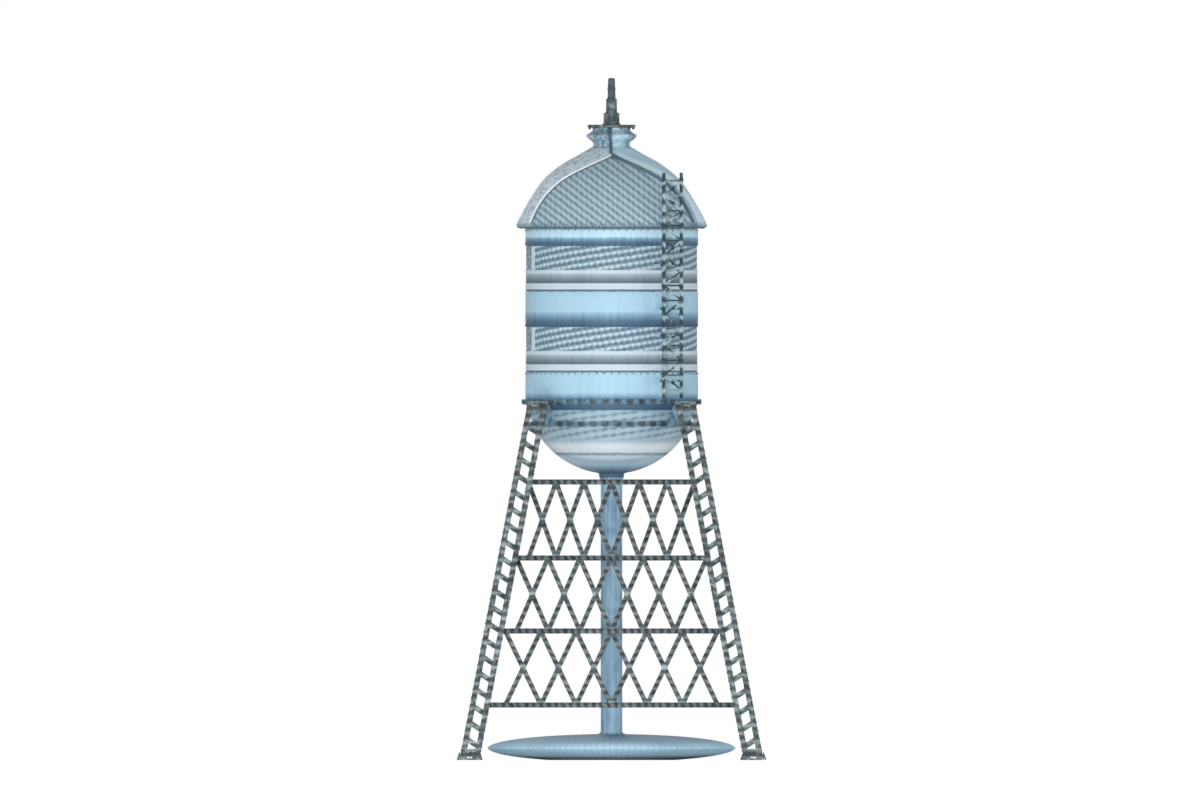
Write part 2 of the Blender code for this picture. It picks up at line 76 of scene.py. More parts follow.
# %% [markdown]
# ## The studio
#
# A pale round floor carries the tower, and a white sky lights it softly. The sky that
# the camera sees is pure white, as behind a product on paper. The sky that lights the
# tower is dimmer, because an even white light from all sides would wash out the round
# forms. One broad lamp near the camera lights what faces us, so that a round tank
# fades towards its edges. Weaker lamps come from the left and the right, one lights the
# back, and a long low one lights the foot of the tower. The standard view shows white
# as white: a filmic view would turn this white sky grey.

# %% Floor, sky and lamps
FLOOR_R = 260.0
TOWER_MIDDLE = Vector((0.0, 0.0, 12.0))

bpy.ops.object.select_all(action="DESELECT")
bpy.ops.mesh.primitive_circle_add(vertices=96, radius=FLOOR_R, fill_type="NGON", location=(0.0, 0.0, -0.002))
floor = bpy.context.object
floor.name = "studio_floor"
chalk = bpy.data.materials.new("floor_chalk")
chalk.use_nodes = True
chalk_skin = chalk.node_tree.nodes["Principled BSDF"]
chalk_skin.inputs["Base Color"].default_value = (0.86, 0.87, 0.88, 1.0)
chalk_skin.inputs["Roughness"].default_value = 0.9
floor.data.materials.append(chalk)

SKY_ON_TOWER = 0.42
SKY_IN_VIEW = 1.0
world = bpy.data.worlds.new("white_sky")
world.use_nodes = True
bpy.context.scene.world = world
sky = world.node_tree.nodes["Background"]
sky.inputs["Color"].default_value = (1.0, 1.0, 1.0, 1.0)
ray = world.node_tree.nodes.new("ShaderNodeLightPath")
level = world.node_tree.nodes.new("ShaderNodeMapRange")
level.inputs["To Min"].default_value = SKY_ON_TOWER
level.inputs["To Max"].default_value = SKY_IN_VIEW
world.node_tree.links.new(ray.outputs["Is Camera Ray"], level.inputs["Value"])
world.node_tree.links.new(level.outputs["Result"], sky.inputs["Strength"])
bpy.context.scene.view_settings.view_transform = "Standard"


def softbox(name, azimuth, height, distance, size, watts):
    """A square lamp at an azimuth from the front towards +X, aimed at the middle of the tower."""
    spot = Vector((sin(azimuth) * distance, -cos(azimuth) * distance, height))
    bpy.ops.object.light_add(type="AREA", location=spot)
    lamp = bpy.context.object
    lamp.name = name
    lamp.data.shape = "SQUARE"
    lamp.data.size = size
    lamp.data.energy = watts
    lamp.rotation_euler = (TOWER_MIDDLE - spot).to_track_quat("-Z", "Y").to_euler()
    return lamp


softbox("key_lamp", radians(-6), height=16.0, distance=48.0, size=16.0, watts=7000)
softbox("left_lamp", radians(-62), height=16.0, distance=40.0, size=12.0, watts=1700)
softbox("side_lamp", radians(68), height=20.0, distance=40.0, size=12.0, watts=2900)
softbox("back_lamp", radians(186), height=18.0, distance=48.0, size=16.0, watts=7600)

# The low lamp is a long strip near the ground that shines level, not at the middle
LOW_TURN = radians(-4)
low_lamp = softbox("low_lamp", LOW_TURN, height=0.45, distance=26.0, size=24.0, watts=1500)
low_lamp.data.shape = "RECTANGLE"
low_lamp.data.size_y = 0.8
low_lamp.rotation_euler = (pi / 2, 0.0, LOW_TURN)

# %% [markdown]
# ## Working by hand, in code
#
# A modelling operator acts on all that is selected. By hand we look and click. In
# code we say which faces we mean by their place or their direction. These helpers let
# go of everything, add a box or a cylinder, pick faces or edges by a test, and finish a
# piece: its place goes into its mesh, its object stays at the origin, and it rides on
# the tower's one body.


def let_go():
    """Leaves edit mode and selects nothing, so that an operator acts on the new piece alone."""
    if bpy.context.object and bpy.context.object.mode != "OBJECT":
        bpy.ops.object.mode_set(mode="OBJECT")
    bpy.ops.object.select_all(action="DESELECT")


def box(centre, size):
    """Adds a box and selects nothing else."""
    let_go()
    bpy.ops.mesh.primitive_cube_add(size=1, location=centre, scale=size)
    bpy.ops.object.transform_apply(location=True, rotation=True, scale=True)
    return bpy.context.object


def cylinder(sides, radius, depth, centre, rotation=(0.0, 0.0, 0.0)):
    """Adds a cylinder and selects nothing else."""
    let_go()
    bpy.ops.mesh.primitive_cylinder_add(
        vertices=sides, radius=radius, depth=depth, location=centre, rotation=rotation
    )
    bpy.ops.object.transform_apply(location=True, rotation=True, scale=True)
    return bpy.context.object


def begin(name):
    """Names the primitive that was just added and opens it in edit mode."""
    piece = bpy.context.object
    piece.name = name
    bpy.ops.object.mode_set(mode="EDIT")
    bpy.ops.mesh.select_mode(type="FACE")
    bpy.ops.mesh.select_all(action="SELECT")
    return piece


def pick_faces(piece, wanted):
    """Selects the faces whose middle and normal pass the test."""
    bpy.ops.mesh.select_mode(type="FACE")
    bpy.ops.mesh.select_all(action="DESELECT")
    shape = bmesh.from_edit_mesh(piece.data)
    for face in shape.faces:
        if wanted(face.calc_center_median(), face.normal):
            face.select_set(True)
    bmesh.update_edit_mesh(piece.data)


def pick_edges(piece, wanted):
    """Selects the edges whose middle passes the test."""
    bpy.ops.mesh.select_mode(type="EDGE")
    bpy.ops.mesh.select_all(action="DESELECT")
    shape = bmesh.from_edit_mesh(piece.data)
    for edge in shape.edges:
        if wanted((edge.verts[0].co + edge.verts[1].co) / 2):
            edge.select_set(True)
    bmesh.update_edit_mesh(piece.data)


def pull(way):
    """Extrudes what is selected and moves it."""
    bpy.ops.mesh.extrude_region_move(TRANSFORM_OT_translate={"value": way})


def only(*pieces):
    """Selects these pieces and nothing else."""
    let_go()
    for piece in pieces:
        piece.select_set(True)
    bpy.context.view_layer.objects.active = pieces[-1]


def rounded(piece, width, segments=1):
    """Breaks the sharp edges, as a grinder does."""
    only(piece)
    soft = piece.modifiers.new("broken_edges", "BEVEL")
    soft.width = width
    soft.segments = segments
    soft.limit_method = "ANGLE"
    soft.angle_limit = radians(40)
    bpy.ops.object.modifier_apply(modifier=soft.name)
    return piece


def settled(piece, smooth=30):
    """Puts the place of a piece into its mesh and shades it smooth, but for its corners."""
    only(piece)
    bpy.ops.object.transform_apply(location=True, rotation=True, scale=True)
    bpy.ops.object.shade_smooth_by_angle(angle=radians(smooth))
    return piece


def joined(name, pieces):
    """Welds several pieces into one object."""
    only(*pieces)
    if len(pieces) > 1:
        bpy.ops.object.join()
    made = bpy.context.object
    made.name = name
    made.data.name = name
    return made


def copied(model, places):
    """Copies of one model, each with its own mesh, set at the given places."""
    twins = []
    for place in places:
        twin = model.copy()
        twin.data = model.data.copy()
        twin.data.transform(place)
        bpy.context.scene.collection.objects.link(twin)
        twins.append(twin)
    return twins


def put_away(*models):
    """Deletes models that were only there to be copied."""
    for model in models:
        bpy.data.objects.remove(model, do_unlink=True)


def coat(piece, finish):
    """Paints a piece with one finish."""
    piece.data.materials.clear()
    piece.data.materials.append(finish.material)
    return piece


def mount(piece, slot, *stands_for):
    """The finished piece rides on the tower and takes the place of the CAD pieces named."""
    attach(piece, "root")
    if stands_for:
        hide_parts(*stands_for)
    print(piece.name, len(piece.data.polygons), "faces")
    return piece


# %% [markdown]
# ## Turned pieces
#
# The tank, the bowl, the roof, the pipe and the base are all round. By hand we would
# add a circle, extrude it, scale the new ring, and go on from ring to ring along the
# outline. The helper does just that. An outline is a list of (radius, height). Where
# it reaches the centre line, the ring shrinks to a point and its doubles are merged,
# which closes the pole. A soft outline first gets more points on a smooth curve.

# %% The lathe
ROUND = 120


def turned(name, outline, sides=ROUND, smooth=30):
    """A solid of revolution from a closed outline of (radius, height)."""
    let_go()
    outline = [(max(radius, 0.0001), height) for radius, height in outline]
    radius, height = outline[0]
    bpy.ops.mesh.primitive_circle_add(
        vertices=sides, radius=radius, fill_type="NOTHING", location=(0.0, 0.0, height)
    )
    piece = begin(name)
    bpy.ops.mesh.select_mode(type="EDGE")
    bpy.ops.mesh.select_all(action="SELECT")
    for (r0, z0), (r1, z1) in zip(outline, outline[1:] + outline[:1]):
        pull((0.0, 0.0, z1 - z0))
        if r1 != r0:
            bpy.ops.transform.resize(value=(r1 / r0, r1 / r0, 1.0), center_override=(0.0, 0.0, z1))
    bpy.ops.mesh.select_all(action="SELECT")
    bpy.ops.mesh.remove_doubles(threshold=0.0005)
    bpy.ops.mesh.normals_make_consistent(inside=False)
    bpy.ops.object.mode_set(mode="OBJECT")
    return settled(piece, smooth)


def band_outline(inner, outer, low, high, edge):
    """The outline of a level band whose two outer corners are cut back by edge."""
    return [
        (inner, low), (outer - edge, low), (outer, low + edge),
        (outer, high - edge), (outer - edge, high), (inner, high),
    ]


def softened(outline, steps):
    """More points on a smooth curve through the points of an outline."""
    points = [Vector(p) for p in outline]
    points = [points[0] * 2 - points[1]] + points + [points[-1] * 2 - points[-2]]
    curve = []
    for a, b, c, d in zip(points, points[1:], points[2:], points[3:]):
        for i in range(steps):
            t = i / steps
            spot = 0.5 * (2 * b + (c - a) * t + (2 * a - 5 * b + 4 * c - d) * t * t)
            curve.append(tuple(spot + 0.5 * (3 * b - a - 3 * c + d) * t ** 3))
    return curve + [tuple(points[-2])]


print("a round piece has", ROUND, "sides")

# %% [markdown]
# ## Rivets
#
# Steel tanks of this kind were riveted. A rivet head is a low dome. We add a small
# ball, cut its lower half away with a bisect that also closes the cut, and flatten
# what is left. Hundreds of copies are needed, so it has only a few faces. The next
# helpers stand a copy anywhere, upright on a surface, and turn it round the tower.

# %% A rivet head
TO_FRONT = (0.0, -1.0, 0.0)


def rivet_head(radius):
    """A low dome, its flat foot on the origin."""
    let_go()
    bpy.ops.mesh.primitive_uv_sphere_add(segments=8, ring_count=4, radius=radius, location=(0.0, 0.0, 0.0))
    head = begin("rivet_model")
    bpy.ops.mesh.bisect(plane_co=(0.0, 0.0, 0.0), plane_no=(0.0, 0.0, 1.0), use_fill=True, clear_inner=True)
    bpy.ops.mesh.select_all(action="SELECT")
    bpy.ops.transform.resize(value=(1.0, 1.0, 0.7), center_override=(0.0, 0.0, 0.0))
    return settled(head, 50)


def upright(spot, normal):
    """The place of a small part that stands at a spot, its foot on the surface."""
    turn = Vector(normal).to_track_quat("Z", "Y").to_matrix().to_4x4()
    return Matrix.Translation(spot) @ turn


def around(radius, height, count, first=0.0):
    """Places evenly round the tower, each facing outwards."""
    places = []
    for i in range(count):
        turn = first + i * 2 * pi / count
        out = Vector((sin(turn), -cos(turn), 0.0))
        places.append(upright(out * radius + Vector((0.0, 0.0, height)), out))
    return places


def azimuth_matrix(azimuth):
    """Turns a part that was made at the front (-Y) to an azimuth towards +X."""
    return Matrix.Rotation(azimuth, 4, "Z")


def quarter_turn(count):
    """Turns a part on by so many right angles."""
    return azimuth_matrix(count * pi / 2)


rivet = rivet_head(0.026)
small_rivet = rivet_head(0.017)
print("faces of a rivet head:", len(rivet.data.polygons))

# %% [markdown]
# ## Paint and steel as nodes
#
# A finish is a small network of nodes. Two helpers keep it readable. An `Amount` is a
# number that changes over the surface, such as a height or a noise. Its plus, minus
# and times add the nodes that do the sum, so a formula reads as a formula. A `Finish`
# is one material. Its `node` adds any other node, with its settings first and then
# its inputs. All patterns read the place on the object, in metres, so a pattern stays
# where it is from every side.

# %% Amounts and finishes
class Amount:
    """A number that changes over the surface."""

    def __init__(self, finish, socket):
        self.finish = finish
        self.socket = socket

    def __add__(self, other):
        return self.finish.maths("ADD", self, other)

    def __radd__(self, other):
        return self.finish.maths("ADD", other, self)

    def __sub__(self, other):
        return self.finish.maths("SUBTRACT", self, other)

    def __rsub__(self, other):
        return self.finish.maths("SUBTRACT", other, self)

    def __mul__(self, other):
        return self.finish.maths("MULTIPLY", self, other)

    def __truediv__(self, other):
        return self.finish.maths("DIVIDE", self, other)

    def __lt__(self, other):
        return self.finish.maths("LESS_THAN", self, other)

    def __gt__(self, other):
        return self.finish.maths("GREATER_THAN", self, other)

    def __abs__(self):
        return self.finish.maths("ABSOLUTE", self)


class Finish:
    """One paint or metal, grown from the shader that a new material has."""

    def __init__(self, name, roughness=0.5, metallic=0.0, shine=0.3):
        self.material = bpy.data.materials.new(name)
        self.material.use_nodes = True
        self.tree = self.material.node_tree
        self.skin = self.tree.nodes["Principled BSDF"]
        self.skin.inputs["Roughness"].default_value = roughness
        self.skin.inputs["Metallic"].default_value = metallic
        self.skin.inputs["Specular IOR Level"].default_value = shine
        self.place = self.node("TexCoord").outputs["Object"]
        parts = self.node("SeparateXYZ", {}, {"Vector": self.place})
        self.x, self.y, self.z = (Amount(self, parts.outputs[i]) for i in range(3))

    def node(self, kind, settings=None, inputs=None):
        """Adds a node with its settings, and links or sets its inputs."""
        made = self.tree.nodes.new("ShaderNode" + kind)
        for key, value in (settings or {}).items():
            if key == "stops":
                stops = made.color_ramp.elements
                while len(stops) < len(value):
                    stops.new(0.5)
                for stop, (position, colour) in zip(stops, value):
                    stop.position = position
                    stop.color = colour
            else:
                setattr(made, key, value)
        for key, value in (inputs or {}).items():
            if isinstance(value, Amount):
                value = value.socket
            if isinstance(value, bpy.types.NodeSocket):
                self.tree.links.new(value, made.inputs[key])
            else:
                made.inputs[key].default_value = value
        return made

    def maths(self, operation, *values):
        """Adds a Math node and gives its result."""
        made = self.node("Math", {"operation": operation}, dict(enumerate(values)))
        return Amount(self, made.outputs[0])

    def azimuth(self):
        """The angle round the tower in radians: 0 at the front, growing towards +X."""
        return self.maths("ARCTAN2", self.x, 0.0 - self.y)

    def noise(self, scale, stretch=(1.0, 1.0, 1.0), detail=3.0):
        """A cloudy pattern from 0 to 1. A small stretch factor draws it out along that axis."""
        drawn = self.node("Mapping", {}, {"Vector": self.place, "Scale": stretch})
        cloud = self.node("TexNoise", {}, {"Vector": drawn.outputs[0], "Scale": scale, "Detail": detail})
        return Amount(self, cloud.outputs["Fac"])

    def between(self, amount, low, high):
        """0 at low, 1 at high, held at both ends."""
        made = self.node("MapRange", {}, {"Value": amount, "From Min": low, "From Max": high})
        return Amount(self, made.outputs["Result"])

    def wave(self, amount, pitch):
        """A soft wave from 0 to 1 that repeats each pitch."""
        return self.maths("SINE", amount * (2 * pi / pitch)) * 0.5 + 0.5

    def graded(self, amount, stops):
        """A colour that changes with an amount from 0 to 1."""
        return self.node("ValToRGB", {"stops": stops}, {"Fac": amount}).outputs["Color"]

    def mixed(self, amount, colour, over):
        """colour where the amount is 0 and over where it is 1."""
        made = self.node("Mix", {"data_type": "RGBA"}, {0: amount, 6: colour, 7: over})
        return made.outputs[2]

    def toned(self, colour, amount):
        """A colour made lighter or darker by an amount near 1."""
        colour = colour[:3] if isinstance(colour, tuple) else colour
        made = self.node("VectorMath", {"operation": "SCALE"}, {0: colour, "Scale": amount})
        return made.outputs[0]

    def worn(self, colour, height, depth, roughness):
        """Connects the colour, a relief and the roughness to the shader, and hands the finish back."""
        self.tree.links.new(colour, self.skin.inputs["Base Color"])
        relief = self.node("Bump", {}, {"Strength": 0.6, "Distance": depth, "Height": height})
        self.tree.links.new(relief.outputs["Normal"], self.skin.inputs["Normal"])
        self.tree.links.new(roughness.socket, self.skin.inputs["Roughness"])
        return self


def shade(red, green, blue):
    """A colour as a screen counts it, 0 to 255, turned into the linear numbers of a shader."""

    def linear(level):
        """One channel of the colour, from 0 to 255, as a shader counts it."""
        level = level / 255
        return level / 12.92 if level <= 0.04045 else ((level + 0.055) / 1.055) ** 2.4

    return (linear(red), linear(green), linear(blue), 1.0)


print("half grey on a screen is", round(shade(128, 128, 128)[0], 3), "in a shader")

# %% [markdown]
# ## Structural steel
#
# The legs, the bracing and the girders wear a dark green-grey paint. On the picture it
# reads as a chain of dark and light dashes: the paint has worn thin and pale on every
# stitch rivet and stayed dark between. On the legs and the crossed bars the dashes
# follow the height. On the level struts they follow the way along, for which x + y
# serves on all four sides, because on each side one of the two stays nearly the same.

# %% Steel finishes
STEEL_DARK = shade(46, 54, 58)
STEEL_MID = shade(82, 92, 95)
STEEL_PALE = shade(142, 156, 157)


def dashed_steel(name, pitch, along="height", dark=STEEL_DARK, pale=STEEL_PALE, ragged=0.45):
    """Dark paint with pale worn spots at each stitch. ragged says how much they lose their order."""
    steel = Finish(name, metallic=0.25)
    way = steel.z if along == "height" else steel.x + steel.y
    blotch = steel.noise(4.5, detail=4.0)
    fine = steel.noise(34.0, detail=2.0)
    beat = steel.wave(way + (blotch - 0.5) * pitch * 0.9, pitch)
    spots = beat * (1.0 - ragged) + steel.between(blotch + (fine - 0.5) * 0.5, 0.30, 0.70) * ragged
    colour = steel.graded(spots, [(0.10, dark), (0.48, STEEL_MID), (0.90, pale)])
    colour = steel.toned(colour, 0.82 + fine * 0.36)
    return steel.worn(colour, fine + spots * 0.3, 0.004, 0.62 - spots * 0.18)


tower_steel = dashed_steel("tower_steel", 0.27, ragged=0.6)
strut_steel = dashed_steel("strut_steel", 0.245, "length", pale=shade(116, 125, 128), ragged=0.3)
brace_steel = dashed_steel("brace_steel", 0.25, pale=shade(120, 130, 132), ragged=0.4)
ladder_steel = dashed_steel(
    "ladder_steel", 0.40, dark=shade(44, 74, 82), pale=shade(162, 190, 196), ragged=0.2
)
knot_steel = dashed_steel(
    "knot_steel", 0.30, dark=shade(64, 82, 88), pale=shade(150, 168, 170), ragged=0.5
)
block_steel = dashed_steel(
    "girder_block_steel", 0.9, dark=shade(40, 70, 84), pale=shade(88, 126, 142), ragged=0.8
)
print("steel finishes: tower, strut, brace, ladder, knot, block")

# %% [markdown]
# ## Tank paints
#
# The belts are smooth and pale blue, and they darken to navy along their lower edge:
# this navy is painted shade. Between them the wall is a greyer blue under short slate
# brush marks, in rows that rise a little to the right. White and grey straps run round
# the wall above the middle and the lower belt. The fine upright streaks on belts and
# straps are what rain and a wide brush leave: a noise drawn out along the height.

# %% Belt, panel and strap finishes
PALE_BLUE = shade(172, 211, 231)
MID_BLUE = shade(132, 172, 200)
# NAVY is painted shade along the lower edge of each belt
NAVY = shade(60, 88, 114)
SLATE = shade(104, 132, 150)
CHALK = shade(204, 220, 230)

TANK_R = 2.800
BELT_UPPER = (16.835, 17.395)
BELT_MIDDLE = (14.180, 15.360)
BELT_LOWER = (11.460, 12.707)
LAP_FEET = {"upper": 15.360, "lower": 12.705}
BUTT_TURNS = [radians(-66), radians(114)]


def belt_paint(name, low, high, edge=0.34, pale=PALE_BLUE):
    """Pale blue that fades to navy, as painted shade, over the lowest part of a belt."""
    paint = Finish(name, roughness=0.42)
    streaks = paint.noise(9.0, (1.0, 1.0, 0.06))
    climb = paint.between(paint.z + (streaks - 0.5) * 0.10, low, high)
    colour = paint.graded(climb, [
        (0.0, NAVY), (edge * 0.5, shade(80, 112, 138)), (edge, MID_BLUE),
        (edge + 0.10, pale), (0.97, pale), (1.0, SLATE),
    ])
    colour = paint.toned(colour, 0.90 + streaks * 0.2)
    return paint.worn(colour, streaks, 0.004, 0.36 + streaks * 0.16)


def brushed_panel(name, base, mark, slope=0.15, pitch=0.222, dash=0.20):
    """Short brush marks in rows that rise to the right, and a dark mottled strip of painted shade left of
    each butt strap.
    """
    paint = Finish(name, roughness=0.6)
    arc = paint.azimuth() * TANK_R
    loose = paint.noise(5.0) - 0.5
    rows = paint.wave(paint.z - arc * slope + loose * 0.07, pitch)
    row_number = paint.maths("FLOOR", (paint.z - arc * slope) / pitch)
    dashes = paint.wave(arc + row_number * dash * 0.37 + loose * 0.12, dash)
    fibre = paint.noise(30.0, (1.0, 1.0, 3.0), 2.0)
    marks = rows * 0.62 + dashes * 0.24 + (fibre - 0.5) * 0.8
    colour = paint.graded(marks, [
        (0.08, shade(204, 220, 229)), (0.24, base), (0.48, shade(128, 157, 174)),
        (0.74, mark), (1.0, shade(78, 104, 120)),
    ])
    # The mottled strip left of each butt strap is painted shade, where the wall turns away seen from the
    # front
    half_turn = paint.maths("FLOORED_MODULO", paint.azimuth() - BUTT_TURNS[0], pi)
    strip = paint.between(half_turn, pi - radians(25), pi - radians(22))
    mottle = paint.noise(10.0, detail=4.0)
    dark = paint.graded(mottle, [
        (0.32, shade(84, 104, 118)), (0.52, shade(140, 162, 178)), (0.70, shade(196, 216, 226)),
    ])
    colour = paint.mixed(strip, colour, dark)
    return paint.worn(paint.toned(colour, 0.92 + fibre * 0.16), 1.0 - marks, 0.008, 0.5 + marks * 0.2)


def strap_paint(name, colour, grime=0.25):
    """A plain painted strap with drips and patches."""
    paint = Finish(name, roughness=0.55)
    drips = paint.noise(7.0, (1.0, 1.0, 0.15))
    patches = paint.noise(3.0)
    made = paint.toned(colour, 1.0 - grime * 0.5 + (drips * 0.6 + patches * 0.4) * grime)
    return paint.worn(made, drips, 0.003, 0.45 + patches * 0.2)


upper_belt_paint = belt_paint("belt_paint_upper", *BELT_UPPER, 0.44, shade(196, 232, 248))
middle_belt_paint = belt_paint("belt_paint_middle", *BELT_MIDDLE)
lower_belt_paint = belt_paint("belt_paint_lower", *BELT_LOWER, 0.36)
panel_paint = brushed_panel("tank_panel_paint", shade(160, 188, 203), shade(98, 126, 144))
# Chalk is the white of the straps, and also the painted highlight on the right roof seams
chalk_and_highlight_paint = strap_paint("strap_chalk_paint", CHALK, 0.2)
# The dark seam paint is painted shadow under the wall straps and inside the left roof ridges, and it also
# paints the eaves gutter
seam_and_shadow_paint = strap_paint("seam_and_painted_shadow", shade(98, 116, 128), 0.4)
# Fold paint is painted shadow, and ridge paint is a painted highlight
fold_shadow_paint = strap_paint("fold_painted_shadow", shade(84, 116, 134), 0.5)
ridge_highlight_paint = strap_paint("ridge_painted_highlight", shade(240, 247, 251), 0.1)

# The grey lap fades from pale at the top to dark at the foot. It comes twice on the wall,
# so the height above the foot below it is the remainder of a division by their distance.
LAP = (0.260, 0.560)
grey_paint = Finish("strap_grey_paint", roughness=0.55)
lap_streaks = grey_paint.noise(7.0, (1.0, 1.0, 0.15))
lap_distance = LAP_FEET["upper"] - LAP_FEET["lower"]
lap_height = grey_paint.maths("FLOORED_MODULO", grey_paint.z - LAP_FEET["lower"], lap_distance)
lap_climb = grey_paint.between(lap_height + (lap_streaks - 0.5) * 0.07, *LAP)
lap_colour = grey_paint.graded(lap_climb, [
    (0.0, shade(92, 110, 122)), (0.25, shade(106, 124, 135)),
    (0.60, shade(134, 152, 164)), (1.0, shade(172, 192, 204)),
])
lap_colour = grey_paint.toned(lap_colour, 0.90 + lap_streaks * 0.2)
grey_paint.worn(lap_colour, lap_streaks, 0.003, 0.45 + lap_streaks * 0.1)
print("tank finishes: three belts, panel, chalk, grey, seam, fold and ridge")

# %% [markdown]
# ## The tank wall
#
# The straight wall is three rings of plate, riveted one above the other. Each is a
# turned tube with the full wall thickness, and takes the place of the CAD ring of the
# same height. The CAD rings have 36 flats. These have 120, so the outline is round.

# %% Wall courses
WALL = 0.050
BROKEN_EDGE = 0.004
Z_SPRING = 12.052
SEAM_1 = 13.067
SEAM_2 = 15.687
WALL_TOP = 17.400

for name, low, high in (
    ("tank_course_lower", Z_SPRING, SEAM_1),
    ("tank_course_middle", SEAM_1, SEAM_2),
    ("tank_course_upper", SEAM_2, WALL_TOP),
):
    outline = band_outline(TANK_R - WALL, TANK_R, low, high, BROKEN_EDGE)
    mount(coat(turned(name + "_plate", outline), panel_paint), "tank_paint", name)

# %% [markdown]
# ## Stiffening belts
#
# Two wide belts hold the wall in, and a third, the skirt, wraps the joint between the
# wall and the bowl. A rolled plate swells a little in its middle. We turn each belt
# with a soft convex face and tuck its edges in, with a row of rivets along both. The
# skirt comes in the next section and gets its one row of rivets here.

# %% Belts and their rivets
BELT_OUT = 0.035
# How far the face stands out, as a part of BELT_OUT, at each part of the height
BELT_SWELL = (
    (0.0, 0.35), (0.03, 0.72), (0.12, 0.90), (0.35, 1.0),
    (0.65, 1.0), (0.88, 0.90), (0.97, 0.72), (1.0, 0.35),
)
RIVET_ROWS = (16.885, 17.345, 14.245, 15.300, 12.650)
RIVETS_ROUND = 72


def belt(name, low, high, paint):
    """A wide band round the wall, with a soft convex face."""
    tall = high - low
    face = [(TANK_R + BELT_OUT * swell, low + tall * part) for part, swell in BELT_SWELL]
    outline = [(TANK_R - 0.004, low)] + face + [(TANK_R - 0.004, high)]
    return mount(coat(turned(name + "_plate", outline, smooth=40), paint), "belt_paint", name)


belt("belt_upper", *BELT_UPPER, upper_belt_paint)
belt("belt_middle", *BELT_MIDDLE, middle_belt_paint)

heads = []
for height in RIVET_ROWS:
    heads += copied(rivet, around(TANK_R + 0.028, height, RIVETS_ROUND))
belt_rivets = settled(joined("belt_rivets", heads), 50)
mount(coat(belt_rivets, middle_belt_paint), "belt_paint")

# %% [markdown]
# ## The bowl and its skirt
#
# The bottom is half an ellipsoid, pressed from plate, with a short neck onto the pipe.
# Its outline comes from the ellipse itself. The skirt follows the same curve 35 mm
# outside it. Both are closed all round, inside and out, as real plate is.

# %% Bowl and skirt
BOWL_DEEP = 2.686
BOWL_FOOT = 9.2503
NECK_START = 0.62
BORE = 0.307


def bowl_spot(angle, inset=0.0):
    """A point of the half ellipse, at an angle down from the spring line."""
    return ((TANK_R - inset) * cos(angle), Z_SPRING - (BOWL_DEEP - inset) * sin(angle))


# The outside leaves the ellipse at the radius where the neck of the bowl starts
outside = [bowl_spot(radians(a)) for a in range(0, 76, 3)]
outside.append((NECK_START, Z_SPRING - BOWL_DEEP * sqrt(1 - (NECK_START / TANK_R) ** 2)))
outside += [(0.47, 9.404), (0.41, 9.370), (0.40, BOWL_FOOT)]
inside = [(BORE, BOWL_FOOT), (BORE, 9.440)]
inside += [bowl_spot(radians(a), WALL) for a in range(75, -1, -5)]

# Brush marks lie on the upper part of the bowl, and bands of paint follow its height.
# The navy at its foot is painted shade of the underside, and the white band is white
# paint made brighter, as painted light on a face that looks down.
BRUSHED_R = 2.6
bowl_paint = Finish("bowl_paint", roughness=0.5)
arc = bowl_paint.azimuth() * BRUSHED_R
loose = bowl_paint.noise(5.0) - 0.5
fibre = bowl_paint.noise(26.0, (1.0, 1.0, 3.0), 2.0)
rows = bowl_paint.wave(bowl_paint.z - arc * 0.13 + loose * 0.07, 0.225)
dashes = bowl_paint.wave(arc + loose * 0.15, 0.33)
marks = bowl_paint.between(rows * 0.75 + dashes * 0.35 + (fibre - 0.5) * 0.5, 0.45, 0.95)
streaks = bowl_paint.noise(8.0, (1.0, 1.0, 0.12))
climb = bowl_paint.between(bowl_paint.z + (streaks - 0.5) * 0.08, 9.25, 12.05)
bands_and_painted_shade = bowl_paint.graded(climb, [
    (0.0, shade(74, 104, 130)), (0.07, shade(92, 124, 150)), (0.15, shade(196, 228, 246)),
    (0.25, shade(220, 242, 252)), (0.275, shade(132, 154, 170)), (0.30, shade(234, 246, 252)),
    (0.37, shade(236, 248, 253)), (0.43, shade(180, 204, 218)), (0.75, shade(164, 192, 208)), (1.0, NAVY),
])
hatched = bowl_paint.between(bowl_paint.z, 10.40, 10.62)
bowl_colour = bowl_paint.mixed(marks * hatched * 0.75, bands_and_painted_shade, SLATE)
bowl_colour = bowl_paint.toned(bowl_colour, 0.88 + fibre * 0.25)
bowl_paint.worn(bowl_colour, streaks - marks * hatched, 0.006, 0.4 + streaks * 0.2)

mount(coat(turned("tank_bowl_plate", outside + inside), bowl_paint), "bowl_paint", "tank_bowl")

skirt_curve = [(TANK_R, BELT_LOWER[1]), (TANK_R, 12.40), (TANK_R, Z_SPRING)]
skirt_curve += [bowl_spot(radians(a)) for a in (3, 6.5, 9.5, 12.68)]
proud = [(r + BELT_OUT, z) for r, z in skirt_curve]
for end in (0, -1):
    r, z = skirt_curve[end]
    proud[end] = (r + BELT_OUT * 0.5, z)
skirt = turned("belt_lower_skirt", [(r - 0.003, z) for r, z in skirt_curve] + proud[::-1], smooth=40)
mount(coat(skirt, lower_belt_paint), "belt_paint", "belt_lower")

# %% [markdown]
# ## Straps round the wall
#
# Above the middle belt, and again above the skirt, lie a white strap, a grey lap and a
# second white strap, with a thin dark ring of painted shadow under them. All of them
# are turned, with the two outer corners cut back.

